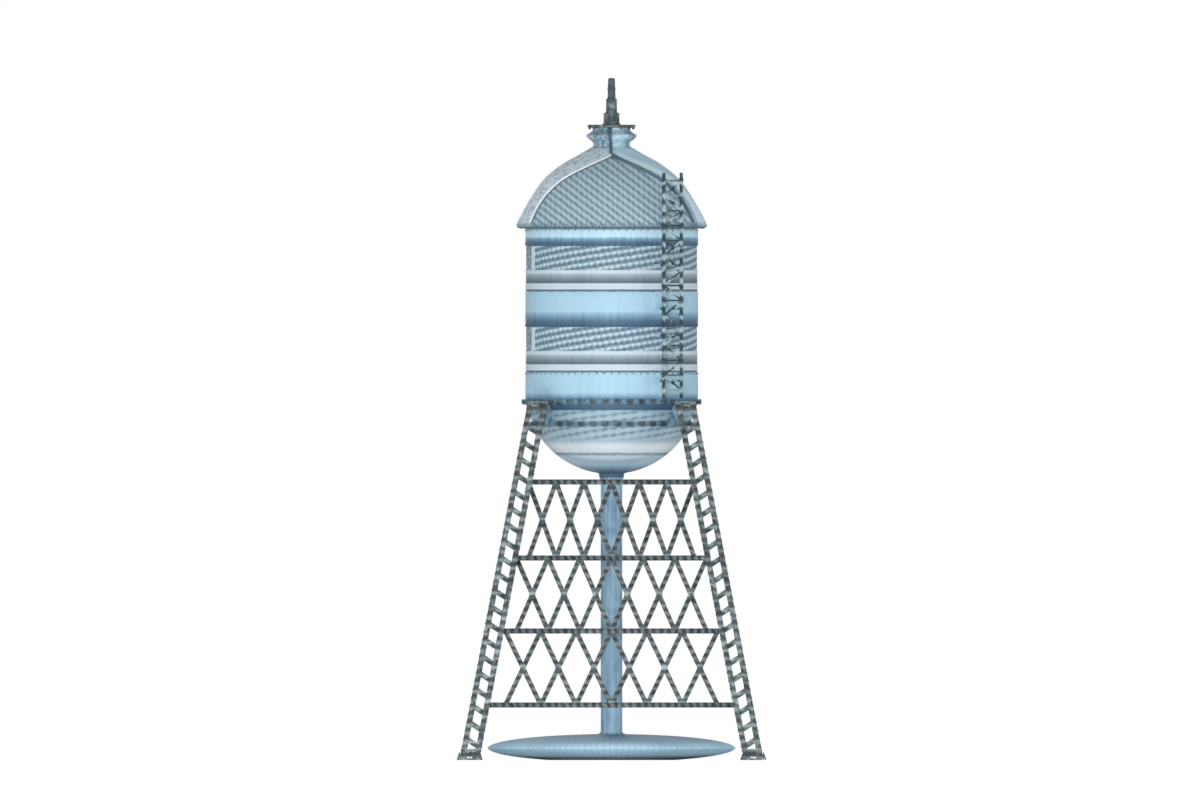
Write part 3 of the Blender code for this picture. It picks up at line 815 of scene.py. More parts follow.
# %% Level straps
for tag, foot in LAP_FEET.items():
    for part, low, high, out, paint in (
        # The dark seam ring is painted shadow under the lower white strap
        ("seam", 0.000, 0.045, 0.010, seam_and_shadow_paint),
        ("strap_low", 0.050, 0.255, 0.020, chalk_and_highlight_paint),
        ("lap", *LAP, 0.010, grey_paint),
        ("strap_high", 0.565, 0.690, 0.018, chalk_and_highlight_paint),
    ):
        edge = min(0.008, out / 2)
        outline = band_outline(TANK_R - 0.003, TANK_R + out, foot + low, foot + high, edge)
        mount(coat(turned(f"wall_{part}_{tag}", outline, smooth=40), paint), "tank_paint")

# %% [markdown]
# ## Upright butt straps
#
# Where the rolled plates of a panel meet, a short white upright strap covers the joint,
# with a row of rivets on each side. It is a flat bar with broken edges: on a tank this
# wide, 22 cm of wall is flat to 2 mm. It is made once at the front and copied round the
# tank to the two joints of its panel, which are on opposite sides.

# %% Upright butt straps
STRAP_WIDE = 0.22
RIVET_STEP = 0.16


def butt_strap(low, high):
    """A bar with rivets, made at the front of the tank."""
    bar = box((0.0, -TANK_R - 0.006, (low + high) / 2), (STRAP_WIDE, 0.030, high - low))
    bar = settled(rounded(bar, 0.006))
    rows = int((high - low) / RIVET_STEP)
    spots = []
    for i in range(rows):
        z = low + (i + 0.5) * (high - low) / rows
        spots += [upright((x, -TANK_R - 0.020, z), TO_FRONT) for x in (-0.070, 0.070)]
    return settled(joined("butt_strap_model", [bar] + copied(small_rivet, spots)), 40)


straps = []
for low, high in ((16.055, 16.830), (13.400, 14.175)):
    model = butt_strap(low, high)
    straps += copied(model, [azimuth_matrix(turn) for turn in BUTT_TURNS])
    put_away(model)
mount(coat(settled(joined("wall_butt_straps", straps), 40), chalk_and_highlight_paint), "tank_paint")

# %% [markdown]
# ## Circular girders
#
# Two girder rings carry the tank on the legs. The upper one sits on the skirt at the
# leg heads, the lower one round the bowl. Each is a curved beam with short stiffener
# blocks across its flanges, which read as a row of dark beads. The ring is turned. One
# block is modelled with bevelled edges and two bolts, and copied round the ring.

# %% Girder rings
ring_steel = strap_paint("girder_ring_paint", shade(112, 148, 172), 0.5)


def girder(name, height, inner, outer, half, count):
    """A channel-shaped ring with blocks across it. inner gives its inner radius at a height."""
    lip = 0.024
    web = outer - 0.045
    low = height - half
    high = height + half
    outline = [(inner(low), low), (outer - BROKEN_EDGE, low), (outer, low + BROKEN_EDGE)]
    outline += [(outer, low + lip), (web, low + lip), (web, high - lip), (outer, high - lip)]
    outline += [(outer, high - BROKEN_EDGE), (outer - BROKEN_EDGE, high)]
    outline += [(inner(high), high), (inner(height), height)]
    mount(coat(turned(name + "_beam", outline, smooth=35), ring_steel), "girder_steel", name)

    # A block reaches a little past both flanges and is smaller at its foot
    tall = 2 * half + 0.036
    block_y = -outer + 0.018
    box((0.0, block_y, height), (0.245, 0.055, tall))
    block = begin("block")
    pick_faces(block, lambda middle, normal: normal.z < -0.9)
    bpy.ops.transform.resize(value=(0.78, 0.8, 1.0), center_override=(0.0, block_y, height - tall / 2))
    bpy.ops.object.mode_set(mode="OBJECT")
    block = settled(rounded(block, 0.012, 2))
    bolts = copied(rivet, [upright((x, -outer - 0.008, height), TO_FRONT) for x in (-0.06, 0.06)])
    block = settled(joined("block_model", [block] + bolts), 40)
    turns = [azimuth_matrix((i + 0.5) * 2 * pi / count) for i in range(count)]
    blocks = settled(joined(name + "_blocks", copied(block, turns)), 40)
    put_away(block)
    mount(coat(blocks, block_steel), "girder_steel")


def bowl_out(z):
    """A radius just inside the face of the bowl, at a height."""
    return TANK_R * sqrt(1 - ((Z_SPRING - z) / BOWL_DEEP) ** 2) - 0.004


def skirt_out(z):
    """The same for the face of the skirt, which lies over the bowl."""
    return TANK_R * sqrt(1 - ((Z_SPRING - z) / BOWL_DEEP) ** 2) + BELT_OUT - 0.004


girder("girder_ring_upper", 11.730, skirt_out, 2.930, 0.070, 45)
girder("girder_ring_lower", 11.000, bowl_out, 2.668, 0.065, 41)

# %% [markdown]
# ## Eaves and roof
#
# The roof is a dome of pressed sheets that overhangs the wall. A smooth curve through
# the measured points gives its outline. Four raised seams part it into gores. The two
# seams of the front gore meet near the top and sweep down and out, so that the gore has
# the shape of a pointed arch, and the back has the same. One formula gives the angle of
# a seam at each height, for the seams and for the paint.

# %% Roof shell
ROOF_LOW = 17.520
Z_ROOF_TOP = 20.043
roof_line = [
    (3.128, ROOF_LOW), (2.948, 17.900), (2.591, 18.510), (2.201, 19.044),
    (1.631, 19.509), (1.064, 19.827), (0.704, Z_ROOF_TOP),
]
roof_curve = softened(roof_line, 5)
roof_inside = [(0.600, Z_ROOF_TOP), (0.600, 19.960), (1.020, 19.740), (1.590, 19.410), (2.130, 18.960)]
roof_inside += [(2.510, 18.440), (2.760, 17.980), (2.760, 17.462), (3.090, 17.462), (3.122, 17.480)]


def roof_radius(z):
    """The outside radius of the roof at a height."""
    for (r0, z0), (r1, z1) in zip(roof_curve, roof_curve[1:]):
        if z0 <= z <= z1:
            return r0 + (r1 - r0) * (z - z0) / (z1 - z0)
    return roof_curve[-1][0]


SEAM_AT_EAVES = radians(59)
SEAM_SWEEP = radians(81.6)
SEAM_POWER = 3.4


def seam_turn(z):
    """How far a roof seam is from the front, as an angle, at a height."""
    part = (z - ROOF_LOW) / (Z_ROOF_TOP - ROOF_LOW)
    return max(SEAM_AT_EAVES - SEAM_SWEEP * part ** SEAM_POWER, 0.0)


APEX = ROOF_LOW + (Z_ROOF_TOP - ROOF_LOW) * (SEAM_AT_EAVES / SEAM_SWEEP) ** (1 / SEAM_POWER)
print("the seams meet at a height of", round(APEX, 3))
print("roof radius half way up:", round(roof_radius(18.78), 3))

# %% [markdown]
# ## Roof paint
#
# The front and back gores carry slanting rows of brush marks, closer than those on the
# wall. The gore on the left is mottled from blue to white. The one on the right is a
# smooth pale blue with painted shade beside its seam and a band of painted highlight a
# little beyond it. The material works out where the seams are with the same formula as
# the model does, and so the change of pattern falls on them.

# %% Roof finish
roof_paint = Finish("roof_paint", roughness=0.5)
turn = roof_paint.azimuth()
part = roof_paint.between(roof_paint.z, ROOF_LOW, Z_ROOF_TOP)
seam_at = SEAM_AT_EAVES - roof_paint.maths("POWER", part, SEAM_POWER) * SEAM_SWEEP
from_front = abs(turn)
front_gore = from_front < seam_at
back_gore = from_front > (pi - seam_at)
hatched = roof_paint.maths("MAXIMUM", front_gore, back_gore)
left_gore = (roof_paint.x < 0.0) * (1.0 - hatched)
loose = roof_paint.noise(5.0) - 0.5
fibre = roof_paint.noise(28.0, detail=2.0)
rows = roof_paint.wave(roof_paint.z + roof_paint.x * 0.76 + loose * 0.06, 0.243)
dashes = roof_paint.wave(roof_paint.x + loose * 0.14, 0.17)
marks = rows * 0.58 + dashes * 0.20 + (fibre - 0.5) * 0.9
brushed = roof_paint.graded(marks, [
    (0.08, shade(190, 216, 227)), (0.32, shade(170, 199, 211)),
    (0.58, shade(138, 168, 181)), (0.85, shade(108, 138, 152)),
])
mottle = roof_paint.noise(8.0, detail=4.0)
mottled = roof_paint.graded(mottle, [
    (0.30, shade(146, 176, 198)), (0.48, shade(208, 230, 244)), (0.66, shade(243, 249, 253)),
])
# The right gore gets painted shade beside its seam and a band of painted highlight just beyond it
sweep = roof_paint.noise(6.0, (1.0, 1.0, 0.2))
beyond = (from_front - seam_at) + (sweep - 0.5) * 0.15
right_gore_shade_and_highlight = roof_paint.graded(beyond, [
    (0.0, shade(96, 132, 152)), (0.07, shade(120, 158, 180)), (0.17, shade(208, 238, 252)),
    (0.30, shade(226, 246, 254)), (0.52, shade(182, 219, 242)), (0.9, shade(190, 224, 242)),
])
sides = roof_paint.mixed(left_gore, right_gore_shade_and_highlight, mottled)
roof_colour = roof_paint.mixed(hatched, sides, brushed)

# Along the eaves the paint ends in a dark fringe of short points
points = roof_paint.wave(roof_paint.azimuth() * 3.1, 0.16) - 0.5
fringe = roof_paint.between(roof_paint.z + points * 0.10, ROOF_LOW + 0.10, ROOF_LOW)
roof_colour = roof_paint.mixed(fringe * 0.7, roof_colour, shade(96, 124, 138))
roof_paint.worn(roof_colour, 1.0 - marks * hatched, 0.012, 0.42 + mottle * 0.2)

roof_shell = turned("roof_dome_shell", roof_curve + roof_inside, smooth=40)
mount(coat(roof_shell, roof_paint), "roof_paint", "roof_dome")

eaves = [(2.700, WALL_TOP), (3.000, WALL_TOP), (3.040, 17.412)]
eaves += [(3.060, 17.440), (3.060, 17.460), (2.700, 17.460)]
mount(coat(turned("eaves_gutter", eaves), seam_and_shadow_paint), "roof_paint", "eaves_ring")

# Small tabs hang from the rim of the roof, narrower at the foot
DRIP_TABS = 96
box((0.0, -3.060, 17.480), (0.075, 0.10, 0.080))
tab = begin("drip_tab_model")
pick_faces(tab, lambda middle, normal: normal.z < -0.9)
bpy.ops.transform.resize(value=(0.5, 0.7, 1.0), center_override=(0.0, -3.075, 17.440))
bpy.ops.object.mode_set(mode="OBJECT")
tab = settled(rounded(tab, 0.008))
drips = copied(tab, [azimuth_matrix(i * 2 * pi / DRIP_TABS) for i in range(DRIP_TABS)])
put_away(tab)
mount(coat(settled(joined("eaves_drip_tabs", drips), 40), ladder_steel), "roof_paint")

# %% [markdown]
# ## Roof seams
#
# A seam follows a curve that lies on the roof. We work out its points from the same
# two formulas as the paint, make a curve through them with a round bevel, and turn it
# into a mesh. On the left of a brushed gore lies a ridge painted white as a highlight,
# with a thin dark crease of painted shade inside it. On the right lies a wide fold painted
# dark as its shadow, with a thin pale seam outside it that is a painted highlight.

# %% Roof seams
SEAM_FOOT = 17.60
SEAM_STEPS = 40


def swept(name, spots, radius):
    """A round rod through the spots."""
    line = bpy.data.curves.new(name, "CURVE")
    line.dimensions = "3D"
    line.bevel_depth = radius
    line.bevel_resolution = 2
    line.use_fill_caps = True
    spline = line.splines.new("POLY")
    spline.points.add(len(spots) - 1)
    for point, spot in zip(spline.points, spots):
        point.co = (*spot, 1.0)
    rod = bpy.data.objects.new(name, line)
    bpy.context.scene.collection.objects.link(rod)
    only(rod)
    bpy.ops.object.convert(target="MESH")
    return settled(bpy.context.object, 60)


def roof_seam(name, side, back, radius, shift=0.0):
    """A rod that climbs the roof along a seam. shift moves it sideways, in metres, out of the gore."""
    top = Z_ROOF_TOP if shift > 0 else APEX - 0.01
    spots = []
    for i in range(SEAM_STEPS + 1):
        # The steps get shorter towards the top, where the seam turns
        z = SEAM_FOOT + (top - SEAM_FOOT) * (1 - (1 - i / SEAM_STEPS) ** 1.6)
        r = roof_radius(z) + radius * 0.25
        turn = side * max(seam_turn(z) + shift / r, 0.0)
        turn = pi - turn if back else turn
        spots.append((r * sin(turn), -r * cos(turn), z))
    return swept(name, spots, radius)


for back, end in ((False, "front"), (True, "back")):
    # The white ridges and pale seams are painted highlights; the dark creases and folds are painted shade
    mount(coat(roof_seam(f"roof_seam_{end}_left", -1, back, 0.060), ridge_highlight_paint), "roof_paint")
    mount(coat(roof_seam(f"roof_crease_{end}_left", -1, back, 0.026, -0.10), seam_and_shadow_paint), "roof_paint")
    mount(coat(roof_seam(f"roof_crease_{end}_right", 1, back, 0.070), fold_shadow_paint), "roof_paint")
    mount(coat(roof_seam(f"roof_seam_{end}_right", 1, back, 0.026, 0.15), chalk_and_highlight_paint), "roof_paint")

# %% [markdown]
# ## Vent neck, cap plate and finial
#
# Air goes in and out of the tank through the neck on top. It flares like a vase under
# a flat cap plate, and a stepped pipe stands on that. All are turned. Bolts under the
# rim of the cap give its edge the broken look of the picture.

# %% Vent and finial
neck_paint = Finish("neck_paint", roughness=0.5)
neck_mottle = neck_paint.noise(9.0, (1.0, 1.0, 0.5), 4.0)
# The wave round the neck paints the light and shade of folds that the turned neck does not have
neck_fold_shading = neck_paint.wave(neck_paint.azimuth() + neck_mottle * 0.20, 1.57)
neck_colour = neck_paint.graded(neck_mottle * 0.75 + neck_fold_shading * 0.25, [
    (0.26, shade(112, 142, 158)), (0.42, shade(154, 184, 198)),
    (0.58, shade(186, 220, 232)), (0.80, shade(216, 238, 246)),
])
# Left of the bead the neck is painted darker and more mottled, as painted shade on its side away from the
# light
neck_left_painted_shade = neck_paint.graded(neck_mottle, [
    (0.36, shade(92, 116, 132)), (0.50, shade(142, 168, 182)), (0.66, shade(196, 216, 226)),
])
neck_colour = neck_paint.mixed((neck_paint.x < 0.0) * 0.75, neck_colour, neck_left_painted_shade)
neck_paint.worn(neck_colour, neck_mottle, 0.008, 0.4 + neck_mottle * 0.2)

NECK_TOP = 20.706
vase = [(0.690, Z_ROOF_TOP), (0.603, 20.110), (0.620, 20.230), (0.740, 20.330), (0.812, 20.400)]
neck_out = softened(vase, 3)
neck_out += [(0.819, 20.430), (0.819, 20.470), (0.800, 20.492), (0.700, 20.540)]
neck_out += [(0.630, 20.600), (0.606, 20.650), (0.640, NECK_TOP)]
neck = turned("vent_neck_shell", [(0.460, Z_ROOF_TOP)] + neck_out + [(0.460, NECK_TOP)], 64)
mount(coat(neck, neck_paint), "neck_paint", "vent_neck")

cap_steel = dashed_steel(
    "cap_plate_steel", 0.30, dark=shade(66, 84, 92), pale=shade(132, 150, 158), ragged=0.85
)
cap = [(0.0, NECK_TOP), (0.740, NECK_TOP), (0.782, 20.728), (0.786, 20.745), (0.786, 20.790)]
cap += [(0.778, 20.802), (0.765, 20.806), (0.330, 20.806), (0.300, 20.812), (0.0, 20.812)]
mount(coat(turned("vent_cap_disc", cap, 72), cap_steel), "finial_iron", "vent_cap_plate")

CAP_BOLTS = 14
lug = settled(rounded(cylinder(6, 0.045, 0.070, (0.0, -0.735, 20.690)), 0.008))
lugs = copied(lug, [azimuth_matrix(i * 2 * pi / CAP_BOLTS) for i in range(CAP_BOLTS)])
put_away(lug)
mount(coat(settled(joined("vent_cap_bolts", lugs), 30), block_steel), "finial_iron")

finial_steel = dashed_steel(
    "finial_steel", 0.34, dark=shade(78, 100, 106), pale=shade(142, 162, 165), ragged=0.8
)
finial_stages = {
    "lower": [
        (0.0, 20.8065), (0.300, 20.8065), (0.300, 20.832), (0.262, 20.850), (0.258, 21.120),
        (0.262, 21.140), (0.262, 21.176), (0.250, 21.190), (0.0, 21.190),
    ],
    "middle": [
        (0.0, 21.190), (0.200, 21.190), (0.200, 21.212), (0.180, 21.226), (0.174, 21.590),
        (0.180, 21.606), (0.180, 21.636), (0.168, 21.648), (0.0, 21.648),
    ],
    "top": [
        (0.0, 21.648), (0.148, 21.648), (0.148, 21.668), (0.131, 21.682), (0.124, 21.960),
        (0.136, 21.976), (0.136, 22.004), (0.122, 22.020), (0.112, 22.290), (0.092, 22.324),
        (0.050, 22.336), (0.0, 22.336),
    ],
}
for stage, outline in finial_stages.items():
    tube = coat(turned(f"finial_{stage}_tube", outline, 40), finial_steel)
    mount(tube, "finial_iron", f"finial_{stage}")

# %% [markdown]
# ## The fold on the neck
#
# A rounded bead runs down the neck at the front and the back, from the cap to the
# point where the roof seams meet. It hides the joint of the rolled neck plate, and its
# dark paint is the painted shadow of a fold. Its path follows the outline of the neck,
# a hair outside it.

# %% Neck beads
BEAD_R = 0.056
BEAD_DRIFT = 0.10


def bead(name, back):
    """A rod down the neck and the top of the roof. It drifts sideways a little as it climbs."""
    path = [(r + 0.006, z) for r, z in reversed(neck_out)]
    path += [(roof_radius(z) + 0.01, z) for z in (20.02, 19.95, 19.88, APEX)]
    spots = []
    for r, z in path:
        turn = (pi if back else 0.0) - BEAD_DRIFT * (z - APEX)
        spots.append((r * sin(turn), -r * cos(turn), z))
    return swept(name, spots, BEAD_R)


# The bead's dark paint is painted shadow
mount(coat(bead("vent_neck_bead_front", False), fold_shadow_paint), "neck_paint")
mount(coat(bead("vent_neck_bead_back", True), fold_shadow_paint), "neck_paint")

# %% [markdown]
# ## The riser pipe
#
# Water goes up to the tank through the riser. It comes in three lengths of large pipe
# with a bolted joint at each of the two middle strut levels. A joint is a pair of
# flanges: two thick collars with a groove between them, and bolt heads round both. The
# paint is a satin blue with long upright streaks.

# %% Riser lengths and joints
riser_paint = Finish("riser_paint", roughness=0.5, shine=0.15)
long_streaks = riser_paint.noise(10.0, (1.0, 1.0, 0.05))
blots = riser_paint.noise(4.0, (1.0, 1.0, 0.5))
riser_colour = riser_paint.graded(long_streaks * 0.6 + blots * 0.4, [
    (0.30, shade(122, 158, 184)), (0.50, shade(156, 194, 218)), (0.70, shade(188, 222, 242)),
])
RISER_JOINTS = (4.225, 6.615)
for level in RISER_JOINTS:
    stain = riser_paint.between(abs(riser_paint.z - level) + (blots - 0.5) * 0.5, 0.50, 0.06)
    riser_colour = riser_paint.mixed(stain * 0.5, riser_colour, shade(70, 100, 118))
riser_paint.worn(riser_colour, long_streaks, 0.003, 0.34 + blots * 0.2)

RISER_FOOT = 0.850
RISER_HEAD = 9.250
RISER_R = 0.352
COLLAR = 0.377
# The collar at an end of a length, as radius and distance from that end
PIPE_END = (
    (BORE, 0.0), (COLLAR - 0.006, 0.0), (COLLAR, 0.006),
    (COLLAR, 0.050), (COLLAR - 0.008, 0.060), (RISER_R, 0.066),
)
for name, low, high in (
    ("riser_lower", RISER_FOOT, RISER_JOINTS[0]),
    ("riser_middle", *RISER_JOINTS),
    ("riser_upper", RISER_JOINTS[1], RISER_HEAD),
):
    outline = [(r, low + up) for r, up in PIPE_END]
    outline += [(r, high - down) for r, down in reversed(PIPE_END)]
    mount(coat(turned(name + "_pipe", outline, 64), riser_paint), "riser_paint", name)

JOINT_BOLTS = (4.192, 4.258, 6.582, 6.648)
bolt_heads = []
for level in (0.885, *JOINT_BOLTS, 9.215):
    bolt_heads += copied(small_rivet, around(COLLAR, level, 16))
for level in JOINT_BOLTS:
    bolt_heads += copied(rivet, around(COLLAR - 0.002, level, 8, pi / 16))
mount(coat(settled(joined("riser_joint_bolts", bolt_heads), 50), block_steel), "riser_paint")

# %% [markdown]
# ## The dished base
#
# The pipe ends in a wide flat vessel, shaped like a lens, that stands on the ground
# and spreads the load. Two dished plates meet at a flange. The outline of each comes
# from one flat ellipse. Bolts clamp the flange, and a ring of them holds the foot of
# the pipe. Soft streaks run up over the rim. The paint is nearly white at the ground,
# which is painted light against the shade under the rim, pale blue at the rim and
# darker towards the pipe.

# %% Base plates, flange and bolts
BASE_R = 4.045
BASE_MID = 0.393
BASE_HALF = 0.4585
BASE_SIDES = 144


def base_radius(z):
    """The outside radius of the base at a height."""
    return BASE_R * sqrt(max(1 - ((z - BASE_MID) / BASE_HALF) ** 2, 0.0))


base_paint = Finish("base_paint", roughness=0.7, shine=0.12)
angle = base_paint.azimuth()
spokes = base_paint.noise(3.0, (1.6, 1.6, 0.05))
ribs = base_paint.wave(angle * 4.0 + (spokes - 0.5) * 0.2, 0.21)
climb = base_paint.between(base_paint.z + (spokes - 0.5) * 0.12, 0.0, 0.86)
# Near the ground the colour is nearly white: painted light that makes up for the shade under the rim
base_colour_with_painted_light = base_paint.graded(climb, [
    (0.0, shade(232, 244, 252)), (0.12, shade(222, 240, 250)), (0.26, shade(192, 226, 244)),
    (0.46, shade(182, 219, 238)), (0.58, shade(184, 220, 239)), (0.74, shade(150, 186, 210)),
    (1.0, shade(104, 134, 158)),
])
base_colour_with_painted_light = base_paint.toned(base_colour_with_painted_light, 0.84 + ribs * 0.14 + spokes * 0.18)
base_paint.worn(base_colour_with_painted_light, ribs, 0.004, 0.66 + spokes * 0.16)

RIM_LOW = 0.353
RIM_HIGH = 0.433
under = [(base_radius(z), z) for z in (0.0, 0.03, 0.07, 0.12, 0.18, 0.24, 0.30, RIM_LOW)]
under_in = [(under[-1][0] - 0.12, RIM_LOW), (3.10, 0.200), (1.98, 0.060), (0.0, 0.060)]
lower = turned("riser_base_lower_dish", [(0.0, 0.0)] + under + under_in, BASE_SIDES)
mount(coat(lower, base_paint), "base_paint", "riser_base_lower")

# A groove runs round the rim where its two plates meet
rim = band_outline(3.720, BASE_R, RIM_LOW, RIM_HIGH, 0.012)
groove = [(BASE_R, 0.386), (BASE_R - 0.010, 0.390), (BASE_R - 0.010, 0.396), (BASE_R, 0.400)]
rim = rim[:3] + groove + rim[3:]
mount(coat(turned("riser_base_rim", rim, BASE_SIDES), base_paint), "base_paint", "riser_base_flange")

over_heights = (RIM_HIGH, 0.49, 0.545, 0.60, 0.655, 0.705, 0.750, 0.785, 0.815, 0.835, 0.845)
over = [(base_radius(z), z) for z in over_heights]
over += [(0.460, RISER_FOOT), (0.292, RISER_FOOT)]
over_in = [(0.292, 0.780), (1.20, 0.755), (2.60, 0.640), (over[0][0] - 0.14, RIM_HIGH)]
upper = turned("riser_base_upper_dish", over + over_in, BASE_SIDES)
mount(coat(upper, base_paint), "base_paint", "riser_base_upper")

RIM_BOLTS = 90
FOOT_BOLTS = 16
FOOT_BOLTS_R = 0.425
studs = []
for level in (0.373, 0.414):
    studs += copied(rivet, around(BASE_R - 0.004, level, RIM_BOLTS))
for i in range(FOOT_BOLTS):
    turn = i * 2 * pi / FOOT_BOLTS
    spot = (FOOT_BOLTS_R * sin(turn), -FOOT_BOLTS_R * cos(turn), RISER_FOOT)
    studs += copied(rivet, [upright(spot, (0.0, 0.0, 1.0))])
mount(coat(settled(joined("riser_base_bolts", studs), 50), base_paint), "base_paint")

# %% [markdown]
# ## The legs
#
# A leg is four steel angles, one at each corner of a square, laced on all four faces
# with short flat bars that slant. We model it upright on the centre line. One angle is
# a plane that is cut with a bisect, grown into an L by an edge extrude, and pulled up.
# A flat bar with its rivets is modelled once and copied up each face. At the end the
# whole leg leans. By hand that is a shear, but the shear tool needs a window, so the
# mesh is moved by a matrix that slides each level inwards by 0.191 m per metre.

# %% Corner angles of a leg
LEG_FOOT = 4.656
BATTER = 0.191
LEG_HALF = 0.3276
LEG_LOW = 0.060
LEG_HIGH = 11.700
FLANGE = 0.188
PLATE = 0.022


def leg_offset(z):
    """How far the middle of a leg is from the centre line, along X and along Y, at a height."""
    return LEG_FOOT - BATTER * z


def corner_angle(name, su, sv, low, high):
    """A steel angle whose corner points away from the middle of the leg."""
    let_go()
    centre = (su * (LEG_HALF - FLANGE / 2), sv * (LEG_HALF - PLATE / 2), low)
    bpy.ops.mesh.primitive_plane_add(size=1, location=centre)
    bpy.context.object.scale = (FLANGE, PLATE, 1.0)
    bpy.ops.object.transform_apply(location=True, rotation=True, scale=True)
    angle = begin(name)
    hollow = LEG_HALF - PLATE
    bpy.ops.mesh.bisect(plane_co=(su * hollow, 0.0, 0.0), plane_no=(1.0, 0.0, 0.0))
    pick_edges(angle, lambda middle: abs(middle.y - sv * hollow) < 0.001 and abs(middle.x) > hollow)
    pull((0.0, -sv * (FLANGE - PLATE), 0.0))
    bpy.ops.mesh.select_all(action="SELECT")
    pull((0.0, 0.0, high - low))
    bpy.ops.mesh.select_all(action="SELECT")
    bpy.ops.mesh.remove_doubles(threshold=0.0002)
    bpy.ops.mesh.normals_make_consistent(inside=False)
    bpy.ops.object.mode_set(mode="OBJECT")
    return settled(rounded(angle, 0.005))


print("a leg leans in by", round(leg_offset(LEG_LOW) - leg_offset(LEG_HIGH), 2), "m over its height")

# %% [markdown]
# ## Lacing bars
#
# The angles are held together by short flat bars that slant from one angle to the
# next. On each face of a leg twenty of them climb in even steps, so we make one bar
# with a rivet at each end and copy it later.

# %% Lacing bars of a leg
LACE_COUNT = 20
LACE_PITCH = 0.540
LACE_FIRST = 0.560
LACE_FALL = 0.280
LACE_TALL = 0.156
CHORD_MIDDLE = 0.2456


def lacing_bar():
    """A flat bar on the +Y face of the leg, high at +X, with a rivet at each end."""
    slant = atan2(LACE_FALL, 2 * CHORD_MIDDLE)
    reach = 2 * CHORD_MIDDLE / cos(slant) + 0.085
    bar = box((0.0, 0.0, 0.0), (reach, 0.016, LACE_TALL))
    bar.rotation_euler.y = -slant
    settled(rounded(bar, 0.004))
    bar.data.transform(Matrix.Translation((0.0, LEG_HALF - PLATE - 0.0085, 0.0)))
    ends = []
    for side in (-1, 1):
        spot = Vector((side * CHORD_MIDDLE, LEG_HALF - 0.001, side * LACE_FALL / 2))
        ends.append(upright(spot, (0.0, 1.0, 0.0)))
    return settled(joined("lacing_model", [bar] + copied(rivet, ends)), 45)


LEAN = Matrix.Identity(4)
LEAN[0][2] = -BATTER
LEAN[1][2] = -BATTER
LEAN[0][3] = LEG_FOOT
LEAN[1][3] = LEG_FOOT

SIDES = ((1, 1), (-1, 1), (-1, -1), (1, -1))
angles = [corner_angle(f"angle_{i}", su, sv, LEG_LOW, LEG_HIGH) for i, (su, sv) in enumerate(SIDES)]
lace = lacing_bar()
# The same bar mirrored across the diagonal serves the two other faces
swap = Matrix(((0, 1, 0, 0), (1, 0, 0, 0), (0, 0, 1, 0), (0, 0, 0, 1)))
bars = []
for i in range(LACE_COUNT):
    lift = Matrix.Translation((0.0, 0.0, LACE_FIRST + LACE_PITCH * i))
    across = Matrix.Scale(-1.0, 4, (0.0, 1.0, 0.0))
    bars += copied(lace, [lift, lift @ across, lift @ swap, lift @ swap @ across])
for bar in bars:
    only(bar)
    bpy.ops.object.mode_set(mode="EDIT")
    bpy.ops.mesh.select_all(action="SELECT")
    bpy.ops.mesh.normals_make_consistent(inside=False)
    bpy.ops.object.mode_set(mode="OBJECT")
put_away(lace)
print("lacing bars on a leg:", len(bars))

# %% [markdown]
# ## Batten plates and the whole leg
#
# At the foot and the head a leg has wide plates that close the lacing. With them the
# upright leg is complete. It is joined, leaned by one matrix, and turned to each of
# the four corners.

# %% Batten plates and the whole leg
def batten(height, tall):
    """A wide plate round the leg at its foot or head, as four riveted plates."""
    plates = []
    for quarter in range(4):
        plate = box((0.0, LEG_HALF - PLATE - 0.009, height), (0.60, 0.016, tall))
        plate = settled(rounded(plate, 0.005))
        spots = []
        for x in (-CHORD_MIDDLE - 0.03, -CHORD_MIDDLE + 0.03, CHORD_MIDDLE - 0.03, CHORD_MIDDLE + 0.03):
            for z in (height - tall * 0.3, height + tall * 0.3):
                spots.append(upright((x, LEG_HALF - 0.001, z), (0.0, 1.0, 0.0)))
        plate = joined("batten", [plate] + copied(rivet, spots))
        plate.data.transform(quarter_turn(quarter))
        plates.append(plate)
    return plates


leg_model = joined("leg_model", angles + bars + batten(0.235, 0.26) + batten(11.545, 0.20))
leg_model.data.transform(LEAN)
settled(leg_model, 45)
CORNERS = {"back_right": 0, "back_left": 1, "front_left": 2, "front_right": 3}
for corner, quarter in CORNERS.items():
    leg = copied(leg_model, [quarter_turn(quarter)])[0]
    leg.name = f"leg_{corner}_laced"
    mount(coat(leg, tower_steel), "tower_steel", f"leg_{corner}")
put_away(leg_model)

# %% [markdown]
# ## Feet and heads
#
# A leg stands on a base plate with cut corners. The plate of the CAD model has the
# right shape, so it stays and only gets its paint. Stiffeners and anchor bolts with
# nuts are added on it. The head plate and the web plate at the top of a leg stay as
# well. A nut is a six-sided cylinder with bevelled edges, and the end of the bolt is a
# thinner cylinder through it.

# %% Anchor bolts and stiffeners
BOLT_OUT = 0.374
BOLT_ASIDE = 0.1225
WEB_ASIDE = 0.245


def anchor_bolt():
    """A nut on a washer, with the end of the bolt through both."""
    nut = settled(rounded(cylinder(6, 0.035, 0.032, (0.0, 0.0, 0.028)), 0.006))
    washer = settled(rounded(cylinder(16, 0.042, 0.010, (0.0, 0.0, 0.004)), 0.002))
    stud = settled(rounded(cylinder(12, 0.017, 0.078, (0.0, 0.0, 0.039)), 0.005))
    return settled(joined("anchor_model", [nut, washer, stud]), 35)


